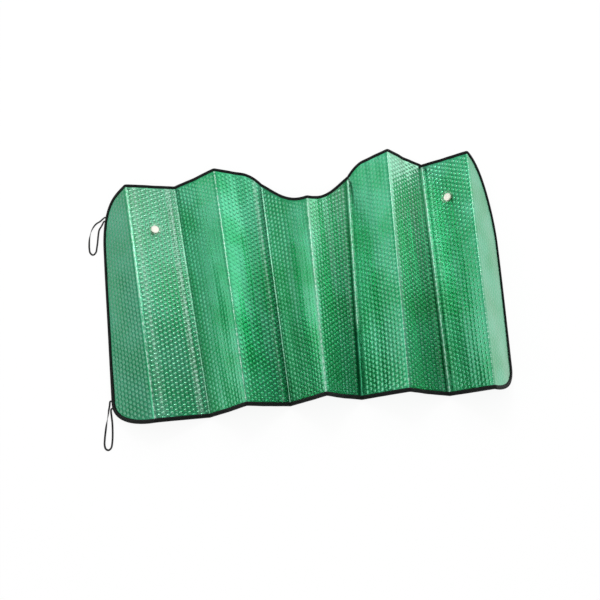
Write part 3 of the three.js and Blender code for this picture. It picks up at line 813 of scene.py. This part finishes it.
def puff(u, v):
    """How full the bubble at a flat place is, eased between the places of the table."""
    panel = np.clip((u // PANEL_WIDTH).astype(int), 0, PANEL_COUNT - 1)
    to_right = smooth_step((u / PANEL_WIDTH - panel - PUFF_EASE_FROM) / PUFF_EASE_OVER)
    levels = PUFF[:, panel, 0] + (PUFF[:, panel, 1] - PUFF[:, panel, 0]) * to_right
    to_middle = smooth_step(v / (SHEET_HEIGHT / 2))
    to_top = smooth_step(v / (SHEET_HEIGHT / 2) - 1)
    lower = levels[0] + (levels[1] - levels[0]) * to_middle
    return lower + (levels[2] - levels[1]) * to_top


# How wide the band painted pale to either side of each fold is, partly worn lacquer and partly painted
# highlight, the height from which it is painted, and how strong the painted shade of a sharp crease
# beside that band is to its left and right
WORN_WIDTHS = np.array((
    (0, 0), (1.9, 1.9), (1.2, 1.2), (1.5, 1.5), (1.5, 1.5), (1.9, 1.9), (4.5, 8.0), (1.6, 1.6),
    (4.8, 9.0), (1.6, 1.6), (0, 0))) * MM
WORN_FROM = np.array((0, 0, 0, 0, 0, 0, 0.34, 0, 0, 0, 0)) * SHEET_HEIGHT
CREASE_SHADE_BESIDE = np.array((
    (0, 0), (0, 0), (0, 1), (0, 0), (0, 1), (0, 0), (1, 0.6), (0, 0), (1, 1), (0, 0), (0, 0)))
# How dark the painted shade is in the strips to the left and right of each fold, and how far they reach
SHADE_BESIDE_FOLDS = np.array((
    (0, 0.5), (0.5, 0), (0.2, 0.5), (0, 0), (0.55, 0.3), (0, 0), (0.6, 0.35), (0, 0), (0.65, 0.55),
    (0, 0), (0, 0)))
SHADE_BESIDE_FOLDS_WIDTHS = np.array((
    (1, 1), (1, 1), (8, 18), (1, 1), (34, 12), (1, 1), (30, 14), (1, 1), (34, 22), (1, 1),
    (1, 1))) * MM
# How far each panel is painted pale between its bubbles, at foot and top: painted highlight and painted
# reflection
PAINTED_PANEL_PALENESS = np.array((
    (0, 0), (0, 0.4), (0.2, 0), (0, 0), (0.3, 0.1), (0.1, 0.4), (0.15, 0), (0.1, 0.65), (0.2, 0),
    (0.24, 0.24)))
# How strongly the film is speckled pale with painted glints in a band 10 to 30 mm to the left and right
# of each fold
SPECKLED_GLINT = np.array((
    (0, 0), (0, 0.45), (0.8, 0), (0, 0), (0.6, 0), (0, 0), (0.5, 0), (0, 0), (0.5, 0.3), (0, 0),
    (0, 0)))
# A wide band is painted less pale than a narrow one, and a band fades out over a short way at its sides
# and over a longer one at its lower end
IS_WIDE = WORN_WIDTHS > 3 * MM
WIDE_PALENESS = 0.7
BAND_OVERLAP = 0.2 * MM
BAND_FADE = 0.6 * MM
BAND_END_FADE = 40 * MM
# How far outside a wide and a narrow band the painted shade of its sharp crease runs, and how far that
# reaches
CREASE_OUTSIDE_WIDE, CREASE_OUTSIDE_NARROW = 1.7 * MM, 0.9 * MM
CREASE_REACH_WIDE, CREASE_REACH_NARROW = 1.8 * MM, 0.8 * MM
SPECKLED_MIDDLE = 20 * MM
SPECKLED_REACH = 10 * MM
# How far from a fold its bubbles are crushed flat, and over what distance they fill again
CRUSHED_OUTSIDE_WIDE = 4.2 * MM
CRUSHED_AT_NARROW = 2.6 * MM
BUBBLE_MARGINS = np.where(IS_WIDE, WORN_WIDTHS + CRUSHED_OUTSIDE_WIDE, CRUSHED_AT_NARROW)
FILLING_DISTANCE = 4 * MM
# How far in millimetres the film is crumpled up or down in a band, and how many times that in a
# wide one
CRUMPLE = 0.16
WIDE_CRUMPLE = 2.4


# Spacings of the mesh along the cut edge and the folds, of the front film and of the back
FRONT_EDGE_SPACING = 6 * MM
FRONT_FOLD_SPACING = 4.5 * MM
CREASE_STAGGER = 2.2 * MM
BACK_EDGE_SPACING = 8 * MM
BACK_FOLD_SPACING = 12 * MM
BACK_ROW_SPACING = 13 * MM
BACK_COLUMNS = 9
# How far inside the cut edge the centre of a bubble is at least, and the other points of the meshes
BUBBLE_FROM_EDGE = 5 * MM
FRONT_CLEAR_OF_EDGE = 1.5 * MM
BACK_CLEAR_OF_EDGE = 4 * MM
# Corners of a bubble's shoulder and of its foot
SHOULDER_CORNERS = 6
FOOT_CORNERS = 8


def crease_offsets(fold, side):
    """Distances to one side of a fold line at which the film has corners."""
    if IS_WIDE[fold, side]:
        width = WORN_WIDTHS[fold, side]
        return 1.7 * MM, width / 2 + 0.6 * MM, width, width + 1.5 * MM, width + 3.3 * MM
    return 0.9 * MM, 2.0 * MM


def wear_and_painted_light(u, v):
    """How pale the film is painted beside its nearest fold, partly worn and partly painted highlight and
    glints, or below 0 how dark the painted shade there is.
    """
    fold = np.rint(u / PANEL_WIDTH).astype(int)
    off = u - fold * PANEL_WIDTH
    side = (off > 0).astype(int)
    width, wide = WORN_WIDTHS[fold, side], IS_WIDE[fold, side]
    outside = np.abs(off) - width
    pale_wear_and_glint = np.where(wide, WIDE_PALENESS, 1.0) * (1 - smooth_step((outside + BAND_OVERLAP) / BAND_FADE))
    pale_wear_and_glint = pale_wear_and_glint * smooth_step((v - WORN_FROM[fold]) / BAND_END_FADE + 1)
    # Painted shade of a sharp crease beside the band
    from_crease = np.abs(outside - np.where(wide, CREASE_OUTSIDE_WIDE, CREASE_OUTSIDE_NARROW))
    crease_shade_mask = (width > 0) * CREASE_SHADE_BESIDE[fold, side] * np.clip(
        1 - from_crease / np.where(wide, CREASE_REACH_WIDE, CREASE_REACH_NARROW), 0, 1)
    reach = np.clip(outside / SHADE_BESIDE_FOLDS_WIDTHS[fold, side], 0, 1)
    # The painted shade covers the whole first panel
    level = np.where(u < PANEL_WIDTH, 1.0, 1 - smooth_step(reach))
    # Pale speckles of painted glints, and painted shade in strips beside the folds
    band = np.clip(1 - np.abs(np.abs(off) - SPECKLED_MIDDLE) / SPECKLED_REACH, 0, 1)
    band = band * (SPECKLED_GLINT[fold, side] > 0)
    fold_shade = SHADE_BESIDE_FOLDS[fold, side] * level * (np.abs(off) > width) * (1 - band)
    return pale_wear_and_glint * (width > 0) + SPECKLED_GLINT[fold, side] * band - np.maximum(crease_shade_mask, fold_shade)


class SHADE_OT_bubble_film(bpy.types.Operator):
    """Makes the front film with its bubbles, and the plain back film"""
    bl_idname = "shade.bubble_film"
    bl_label = "Bubble film"

    def execute(self, context):
        settings = context.scene.shade_sheet
        material = vacuum_metallised_polyester_film(settings)
        radius, height = settings.bubble_radius, settings.bubble_height
        dice = np.random.default_rng(11)
        centres = bubble_centres(settings)
        # Bubbles lie up to 0.25 mm off their lattice each way and differ a little in height
        centres = centres + dice.uniform(-0.25, 0.25, centres.shape) * MM
        heights = height * dice.uniform(0.86, 1.08, len(centres)) * puff(*centres.T)
        from_edge = edge_distances(centres)
        inner_ring = np.arange(SHOULDER_CORNERS) * (2 * np.pi / SHOULDER_CORNERS)
        outer_ring = np.arange(FOOT_CORNERS) * (2 * np.pi / FOOT_CORNERS)
        # A bubble's flat top, the ring where its shoulder begins, and its foot, with their heights
        # and how steeply they lean outwards
        pattern = np.concatenate((
            [(0.0, 0.0)],
            SHOULDER_SHARE * radius * np.stack((np.cos(inner_ring), np.sin(inner_ring)), 1),
            radius * np.stack((np.cos(outer_ring), np.sin(outer_ring)), 1)))
        shares = np.array([1.0] + [SHOULDER_HEIGHT] * SHOULDER_CORNERS + [0.0] * FOOT_CORNERS)
        steepness = np.array([0.0] + [SHOULDER_LEAN] * SHOULDER_CORNERS + [FOOT_LEAN] * FOOT_CORNERS)
        out = np.maximum(np.hypot(pattern[:, 0], pattern[:, 1]), 1e-9)
        leans = pattern * (steepness / out)[:, None]
        bubble_at = {}

        def key(point):
            """A point's cell of 0.05 mm, by which it is found again after the triangulation."""
            return round(point[0] * 20000), round(point[1] * 20000)

        def bubbles_in(panel, border):
            low, high = panel * PANEL_WIDTH, (panel + 1) * PANEL_WIDTH
            first, last = low + BUBBLE_MARGINS[panel, 1], high - BUBBLE_MARGINS[panel + 1, 0]
            in_strip = (centres[:, 0] > first) & (centres[:, 0] < last)
            near = in_strip & inside(centres, border) & (from_edge > BUBBLE_FROM_EDGE)
            kept = []
            for bubble in np.flatnonzero(near):
                points = pattern + centres[bubble]
                for place, point in enumerate(points):
                    if first < point[0] < last:
                        kept.append(point)
                        bubble_at[key(point)] = (bubble, place)
            kept = np.array(kept)
            clear = edge_distances(kept) > FRONT_CLEAR_OF_EDGE
            kept = kept[clear & inside(kept, border)]
            creases = []
            for line, side in ((panel, 1), (panel + 1, -1)):
                if 0 < line < PANEL_COUNT:
                    strip = fold_points(line, FRONT_FOLD_SPACING)[1:-1]
                    for step, offset in enumerate(crease_offsets(line, int(side > 0))):
                        creases.append(strip + (side * offset, step % 2 * CREASE_STAGGER))
            if creases:
                kept = np.concatenate((kept, *creases))
            return kept

        flat, triangles = filled_sheet(FRONT_EDGE_SPACING, FRONT_FOLD_SPACING, bubbles_in)
        bubble, at = np.array([bubble_at.get(key(point), (-1, 0)) for point in flat]).T
        on_bubble = bubble >= 0
        share = heights[bubble] / height * on_bubble
        lift = heights[bubble] * shares[at] * on_bubble
        beyond = np.abs(flat[:, 0] - np.rint(flat[:, 0] / PANEL_WIDTH) * PANEL_WIDTH)
        fold = np.rint(flat[:, 0] / PANEL_WIDTH).astype(int)
        is_fold = (fold > 0) & (fold < PANEL_COUNT)
        side = (flat[:, 0] > fold * PANEL_WIDTH).astype(int)
        margin = BUBBLE_MARGINS[fold, side]
        crushed = np.where(is_fold, smooth_step((beyond - margin + MM) / FILLING_DISTANCE), 1.0)
        pressed = smooth_step((edge_distances(flat) - TAPE_COVER) / FILLING_DISTANCE)
        lift = lift * crushed * pressed
        share = share * crushed * pressed
        crumple = dice.uniform(-CRUMPLE, CRUMPLE, len(flat)) * MM
        worn_width = WORN_WIDTHS[fold, side]
        crumple = crumple * np.where(IS_WIDE[fold, side], WIDE_CRUMPLE, 1.0)
        in_band = is_fold & (beyond < worn_width + BAND_OVERLAP)
        lift = lift + np.where(in_band, crumple, 0.0) * pressed
        places, normal, across, up = folded(flat[:, 0], flat[:, 1], lift)
        front = new_object("bubble_film_front", places, triangles, material)
        add_flat_map(front, "flat", flat)
        panel = np.clip((flat[:, 0] // PANEL_WIDTH).astype(int), 0, PANEL_COUNT - 1)
        # Painted highlight and painted reflection: bubble tops by how full they are, and whole panels by
        # the table, are painted towards the highlight colour
        at_foot, at_top = PAINTED_PANEL_PALENESS[panel].T
        panel_paleness = at_foot + (at_top - at_foot) * smooth_step(flat[:, 1] / SHEET_HEIGHT)
        painted_dome_highlight = shares[at] * share + panel_paleness
        for name, values in (("painted_dome_highlight", painted_dome_highlight), ("wear_and_painted_light", wear_and_painted_light(*flat.T))):
            front.data.attributes.new(name, "FLOAT", "POINT").data.foreach_set(
                "value", values.astype(np.float32))
        # The few corners of each bubble are shaded as the ball that they lie on
        lean = leans[at] * share[:, None]
        steep = normal + across * lean[:, :1] + up * lean[:, 1:]
        web_lean = lean * WEB_LEAN_SHARE
        shallow = normal + across * web_lean[:, :1] + up * web_lean[:, 1:]
        plain = np.empty(len(flat) * 3, np.float32)
        front.data.vertices.foreach_get("normal", plain)
        plain = plain.reshape(-1, 3)
        corners = np.array(triangles)
        owner = bubble[corners]
        whole = on_bubble[corners].all(axis=1) & (owner == owner[:, :1]).all(axis=1)
        shading = np.where(on_bubble[:, None], shallow, plain)[corners]
        shading[whole] = steep[corners[whole]]
        shading /= np.linalg.norm(shading, axis=-1, keepdims=True)
        front.data.normals_split_custom_set(shading.reshape(-1, 3).tolist())

        def plain_points(panel, border):
            grid = np.stack(np.meshgrid(
                (panel + (np.arange(BACK_COLUMNS) + 0.5) / BACK_COLUMNS) * PANEL_WIDTH,
                np.arange(-1, 50) * BACK_ROW_SPACING, indexing="ij"), -1).reshape(-1, 2)
            kept = grid[inside(grid, border)]
            return kept[edge_distances(kept) > BACK_CLEAR_OF_EDGE]

        flat, triangles = filled_sheet(BACK_EDGE_SPACING, BACK_FOLD_SPACING, plain_points)
        places = folded(flat[:, 0], flat[:, 1], -HALF_FILM)[0]
        back = new_object(
            "bubble_film_back", places, [face[::-1] for face in triangles], material)
        add_flat_map(back, "flat", flat)
        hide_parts("shade_panel")
        return {"FINISHED"}


def tape_section():
    """The folded tape's section, as distance in from the cut edge and height: lip, face, fold, face,
    lip, and back along its inside."""
    outer = [
        (TAPE_COVER, 1.0 * MM), (TAPE_COVER - 0.3 * MM, 1.5 * MM), (TAPE_COVER - 1.5 * MM, 2.0 * MM),
        (5 * MM, 2.6 * MM), (2.5 * MM, 2.95 * MM), (0.6 * MM, 2.9 * MM), (-0.7 * MM, 2.3 * MM),
        (-1.5 * MM, 1.3 * MM), (-1.8 * MM, 0.0)]
    inner = [(d, h - 0.7 * MM) for d, h in outer[:5]] + [(0.2 * MM, 1.9 * MM), (-0.9 * MM, 0.6 * MM)]
    front = outer + [(d, -h) for d, h in outer[-2::-1]]
    inside_back = [(d, -h) for d, h in inner]
    return np.array(front + inside_back + inner[::-1])


def edge_frames(spacing):
    """Points of the cut edge with the direction in from each, close together at the fold lines."""
    points = spaced(CUT_EDGE, spacing, closed=True)
    arriving = points - np.roll(points, 1, axis=0)
    leaving = np.roll(points, -1, axis=0) - points
    arriving /= np.linalg.norm(arriving, axis=1, keepdims=True)
    leaving /= np.linalg.norm(leaving, axis=1, keepdims=True)
    along = arriving + leaving
    along /= np.linalg.norm(along, axis=1, keepdims=True)
    inward = np.stack((-along[:, 1], along[:, 0]), 1)
    return points, inward / np.sum(along * arriving, axis=1)[:, None], along


# Rows of stitches: distance in from the cut edge, height over the middle of the film, and how far a
# stitch sinks at its ends
STITCH_ROW = 5.4 * MM
STITCH_HEIGHT = 2.55 * MM
STITCH_SINK = 0.25 * MM
THREAD_RADIUS = 0.3 * MM
# The spacing of the tape's sections along the cut edge
TAPE_RING_SPACING = 3.2 * MM
# The tape covers less from this stretch of the height up, and less still on the right side
TAPE_NARROWS_FROM = 60 * MM
TAPE_NARROWS_OVER = 120 * MM
TAPE_LOSS = 0.32
TAPE_LOSS_AT_RIGHT = 0.2
# The right side, in panels from the left, and over how much of a panel the tape gets there
TAPE_RIGHT_SIDE = 9.4
TAPE_RIGHT_EASE = 0.4


def tape_share(points):
    """How much of its full width the tape covers: it is sewn on widest along the foot."""
    up = smooth_step((points[:, 1] - TAPE_NARROWS_FROM) / TAPE_NARROWS_OVER)
    to_right = smooth_step((points[:, 0] / PANEL_WIDTH - TAPE_RIGHT_SIDE) / TAPE_RIGHT_EASE)
    return 1 - TAPE_LOSS * up - TAPE_LOSS_AT_RIGHT * up * to_right


class SHADE_OT_edge_tape(bpy.types.Operator):
    """Makes the folded edge tape and its two rows of stitches"""
    bl_idname = "shade.edge_tape"
    bl_label = "Edge tape"

    def execute(self, context):
        settings = context.scene.shade_trim
        section = tape_section()
        points, inward, _ = edge_frames(TAPE_RING_SPACING)
        cover = section[None, :, :1] * tape_share(points)[:, None, None]
        flat = points[:, None] + inward[:, None] * np.where(cover > 0, cover, section[None, :, :1])
        places = folded(flat[..., 0], flat[..., 1], section[:, 1])[0]
        vertices, faces = swept(list(places), closed_path=True)
        tape = new_object(
            "folded_edge_tape", vertices, faces, woven_polyester_binding(settings))
        steps = np.linalg.norm(np.roll(points, -1, axis=0) - points, axis=1)
        reach = np.concatenate(([0], np.cumsum(steps)))[:-1]
        across = np.concatenate(([0], np.cumsum(np.linalg.norm(np.diff(section, axis=0), axis=1))))
        add_flat_map(tape, "flat", np.stack((
            np.repeat(reach, len(section)), np.tile(across, len(points))), 1))
        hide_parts("edge_binding")

        thread = spun_polyester_thread(settings)
        centres, inward, along = edge_frames(settings.stitch_pitch)
        # Each stitch is a short thread that swells between the two holes into which its ends sink
        half = settings.stitch_length / 2
        stations = np.array((-1.0, -0.75, 0.0, 0.75, 1.0)) * half
        girths = np.array((0.25, 0.9, 1.0, 0.9, 0.25)) * THREAD_RADIUS
        corners = 6
        angles = np.arange(corners) * (2 * np.pi / corners)
        for side, name in ((1, "front_stitches"), (-1, "back_stitches")):
            vertices, faces = [], []
            for centre, into, direction, cover in zip(centres, inward, along, tape_share(centres)):
                middle = centre + into * STITCH_ROW * cover
                start = len(vertices)
                for station, girth in zip(stations, girths):
                    sunk = STITCH_HEIGHT - STITCH_SINK * (abs(station) / half) ** 2
                    u, v = middle + direction * station
                    offsets = np.stack((np.cos(angles), np.sin(angles)), 1) * girth
                    ring_u = u + into[0] * offsets[:, 0]
                    ring_v = v + into[1] * offsets[:, 0]
                    vertices.extend(zip(ring_u, ring_v, side * (sunk + offsets[:, 1])))
                for ring in range(len(stations) - 1):
                    for corner in range(corners):
                        a = start + ring * corners + corner
                        b = start + ring * corners + (corner + 1) % corners
                        faces.append((a, b, b + corners, a + corners))
                faces.append(tuple(range(start + corners - 1, start - 1, -1)))
                faces.append(tuple(range(len(vertices) - corners, len(vertices))))
            vertices = np.array(vertices)
            places = folded(vertices[:, 0], vertices[:, 1], vertices[:, 2])[0]
            new_object(name, places, faces, thread)
        return {"FINISHED"}


class SHADE_OT_suction_cups(bpy.types.Operator):
    """Makes the two clear suction cups, turned bells with a neck and a head"""
    bl_idname = "shade.suction_cups"
    bl_label = "Suction cups"

    def execute(self, context):
        settings = context.scene.shade_cups
        clear = moulded_pvc("moulded_clear_pvc", settings, 0.8)
        milky = moulded_pvc("moulded_milky_pvc", settings, 0.0)
        rim, top = settings.cup_radius, HALF_FILM + settings.cup_height
        profile = np.array((
            (0.0, -4.9), (3.2, -4.8), (4.6, -4.5), (6.1, -3.8), (6.5, -3.2), (6.4, -2.6), (6.0, -2.35),
            (3.9, -2.3), (3.5, -2.0), (3.5, 2.2), (4.0, 2.35), (5.6, 2.5), (6.0, 2.9), (6.2, 3.5),
            (7.6, 4.3), (9.4, 4.9), (11.2, 5.6), (13.0, 6.8), (14.4, 8.0), (15.5, 9.0), (15.95, 9.5),
            (16.0, 9.8), (15.8, 10.0), (15.3, 9.95), (14.2, 9.4), (12.9, 8.9), (11.5, 8.2), (9.6, 7.6),
            (7.6, 7.1), (5.8, 6.85), (3.0, 6.75), (0.0, 6.7))) * MM
        profile *= (rim / DRAWN_CUP_RIM, top / DRAWN_CUP_TOP)
        segments = 64
        angles = np.arange(segments) * (2 * np.pi / segments)
        for name, (u, v) in CUP_PLACES.items():
            centre, normal = (array.reshape(3) for array in folded(u, v, 0.0)[:2])
            turn = np.array(Vector((0, 0, 1)).rotation_difference(Vector(normal)).to_matrix())
            rings = [np.stack((r * np.cos(angles), r * np.sin(angles), np.full(segments, h)), 1)
                     for r, h in profile[1:-1]]
            vertices, faces = swept(rings, closed_path=False)
            bottom, crown = len(vertices), len(vertices) + 1
            vertices = np.concatenate((vertices, [(0, 0, profile[0][1])], [(0, 0, profile[-1][1])]))
            last = (len(rings) - 1) * segments
            for corner in range(segments):
                after = (corner + 1) % segments
                faces.append((bottom, corner, after))
                faces.append((crown, last + after, last + corner))
            faces = [face[::-1] for face in faces]
            places = vertices @ turn.T + centre
            cup = new_object(name + "_bell", places, faces, clear)
            cup.data.materials.append(milky)
            from_axis = np.hypot(vertices[:, 0], vertices[:, 1])
            in_hub = [max(from_axis[list(face)]) < settings.hub_radius for face in faces]
            cup.data.polygons.foreach_set("material_index", np.array(in_hub, np.int32))
            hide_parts(name)
        return {"FINISHED"}


class SHADE_OT_stage(bpy.types.Operator):
    """Makes the pale floor, the soft lights and the room"""
    bl_idname = "shade.stage"
    bl_label = "Stage and lights"

    def execute(self, context):
        settings = context.scene.shade_stage
        self.make_floor(context, settings)
        self.make_light(context, "key_softbox", (-0.05, 0.7, 1.35), (0.0, 0.0, 0.0), (0.35, 0.35),
                        settings.key_power)
        self.make_light(context, "right_softbox", (0.5, 0.66, 0.95), (-0.35, 0.15, 0.05), (0.4, 0.4),
                        settings.right_softbox_power)
        self.make_room(context, settings)
        context.scene.view_settings.view_transform = "Standard"
        return {"FINISHED"}

    def make_floor(self, context, settings):
        half = settings.floor_size / 2
        mesh = bpy.data.meshes.new("pale_floor")
        mesh.from_pydata(
            [(-half, -half, 0), (half, -half, 0), (half, half, 0), (-half, half, 0)], [],
            [(0, 1, 2, 3)])
        floor = bpy.data.objects.new("pale_floor", mesh)
        context.collection.objects.link(floor)
        made, tree = new_material("matt_white_paper")
        ray = add_node(tree, "ShaderNodeLightPath")
        place = add_node(tree, "ShaderNodeTexCoord").outputs["Object"]
        across = add_node(tree, "ShaderNodeSeparateXYZ", {"Vector": place})
        # Painted light: in the film's mirror the floor glows white towards the right only, and is lit
        # paper at the left
        painted_mirror_glow = add_node(tree, "ShaderNodeMapRange", {
            "Value": across.outputs["X"], "From Min": -0.4, "From Max": 0.4})
        painted_mirror_glow = add_node(tree, "ShaderNodeMath", {
            0: painted_mirror_glow.outputs["Result"], 1: ray.outputs["Is Glossy Ray"]}, operation="MULTIPLY")
        shown = add_node(tree, "ShaderNodeMath", {
            0: ray.outputs["Is Camera Ray"], 1: painted_mirror_glow.outputs["Value"]}, operation="MAXIMUM")
        shown = add_node(tree, "ShaderNodeMath", {
            0: shown.outputs["Value"], 1: ray.outputs["Is Transmission Ray"]}, operation="MAXIMUM")
        share = add_node(tree, "ShaderNodeMath", {
            0: shown.outputs["Value"], 1: FLOOR_WHITE_SHARE}, operation="MULTIPLY")
        paper = add_node(tree, "ShaderNodeBsdfDiffuse", {"Color": linear(settings.floor_colour)})
        white = add_node(tree, "ShaderNodeEmission", {"Color": (1, 1, 1, 1), "Strength": 1.0})
        both = add_node(tree, "ShaderNodeMixShader", {
            0: share.outputs["Value"], 1: paper.outputs["BSDF"], 2: white.outputs["Emission"]})
        add_node(tree, "ShaderNodeOutputMaterial", {"Surface": both.outputs["Shader"]})
        mesh.materials.append(made)

    def make_light(self, context, name, place, target, size, power):
        data = bpy.data.lights.new(name, "AREA")
        data.shape = "RECTANGLE"
        data.size, data.size_y = size
        data.energy = power
        light = bpy.data.objects.new(name, data)
        light.location = place
        light.rotation_mode = "QUATERNION"
        light.rotation_quaternion = (Vector(target) - Vector(place)).to_track_quat("-Z", "Y")
        light.visible_camera = False
        context.collection.objects.link(light)

    def make_room(self, context, settings):
        world = bpy.data.worlds.new("studio_room")
        world.use_nodes = True
        tree = world.node_tree
        tree.nodes.clear()
        ray = add_node(tree, "ShaderNodeLightPath")
        # A white screen stands to the left and a brighter one to the right and behind, with a bright
        # band along the floor under it. The ceiling is dim, and the front is a little brighter
        direction = add_node(tree, "ShaderNodeTexCoord").outputs["Generated"]
        parts = add_node(tree, "ShaderNodeSeparateXYZ", {"Vector": direction})
        dim = settings.ceiling_level
        left_screen = settings.left_screen_level - dim
        right_screen = settings.right_screen_level - dim
        # Each shade of the room runs along one axis of the direction, from a start to an end, and
        # from one level to another. The steps after it join the shades into one brightness
        shades = {
            "low_band": ("Z", 0.2, 0.06, 0.0, 1.0),
            "behind": ("Y", 0.1, 0.42, 0.0, 1.0),
            "far_behind": ("Y", 0.3, 0.46, right_screen * 0.3, right_screen * 0.9),
            "at_right": ("X", 0.15, 0.55, 0.0, 1.0),
            "right_fading_up": ("Z", 0.15, 0.6, 1.0, 0.24),
            "near_floor": ("Z", 0.31, 0.16, 0.3, 1.15),
            "high": ("Z", 0.48, 0.66, 0.0, 0.85),
            "at_left": ("X", -0.15, -0.55, 0.0, 1.0),
            "front": ("Y", 0.05, -0.4, dim, settings.front_level),
        }
        level = {}
        for name, (axis, start, end, low, high) in shades.items():
            level[name] = add_node(tree, "ShaderNodeMapRange", {
                "Value": parts.outputs[axis], "From Min": start, "From Max": end, "To Min": low,
                "To Max": high}, interpolation_type="SMOOTHSTEP").outputs["Result"]
        steps = (
            ("right", "MAXIMUM", "low_band", "behind"),
            ("right", "MULTIPLY", "right", right_screen * 0.8),
            ("right", "ADD", "right", "far_behind"),
            ("right", "MULTIPLY", "right", "at_right"),
            ("right", "MULTIPLY", "right", "right_fading_up"),
            ("left", "ADD", "near_floor", "high"),
            ("left", "MULTIPLY", "left", "at_left"),
            ("left", "MULTIPLY", "left", left_screen),
            ("sides", "ADD", "left", "right"),
            ("all", "ADD", "sides", "front"),
        )
        for name, operation, first, second in steps:
            level[name] = add_node(tree, "ShaderNodeMath", {
                0: level[first], 1: level.get(second, second)}, operation=operation).outputs["Value"]
        room = add_node(tree, "ShaderNodeBackground", {
            "Color": (1, 1, 1, 1), "Strength": level["all"]})
        white = add_node(tree, "ShaderNodeBackground", {"Color": (1, 1, 1, 1), "Strength": 1.0})
        both = add_node(tree, "ShaderNodeMixShader", {
            0: ray.outputs["Is Glossy Ray"], 1: white.outputs["Background"],
            2: room.outputs["Background"]})
        add_node(tree, "ShaderNodeOutputWorld", {"Surface": both.outputs["Shader"]})
        context.scene.world = world


class SHADE_PT_panel(bpy.types.Panel):
    """Lists the pieces of the sunshade and their settings"""
    bl_idname = "SHADE_PT_panel"
    bl_label = "Sunshade"
    bl_space_type = "VIEW_3D"
    bl_region_type = "UI"
    bl_category = "Sunshade"

    def draw(self, context):
        for group in SETTINGS:
            box = self.layout.box()
            for field in getattr(context.scene, group).bl_rna.properties.keys():
                if field not in ("rna_type", "name"):
                    box.prop(getattr(context.scene, group), field)
        for operator in OPERATORS:
            self.layout.operator(operator.bl_idname)


SETTINGS = {
    "shade_sheet": SheetSettings,
    "shade_trim": TrimSettings,
    "shade_cups": CupSettings,
    "shade_stage": StageSettings,
}
OPERATORS = (
    SHADE_OT_camera, SHADE_OT_elastic_loops, SHADE_OT_bubble_film, SHADE_OT_edge_tape,
    SHADE_OT_suction_cups, SHADE_OT_stage)


def register():
    for each in (*SETTINGS.values(), *OPERATORS, SHADE_PT_panel):
        bpy.utils.register_class(each)
    for name, group in SETTINGS.items():
        setattr(bpy.types.Scene, name, bpy.props.PointerProperty(type=group))


def unregister():
    for name in SETTINGS:
        delattr(bpy.types.Scene, name)
    for each in reversed((*SETTINGS.values(), *OPERATORS, SHADE_PT_panel)):
        bpy.utils.unregister_class(each)


def main():
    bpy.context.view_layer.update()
    register()
    bpy.ops.shade.camera()
    bpy.ops.shade.elastic_loops()
    bpy.ops.shade.bubble_film()
    bpy.ops.shade.edge_tape()
    bpy.ops.shade.suction_cups()
    bpy.ops.shade.stage()


if __name__ == "__main__":
    main()
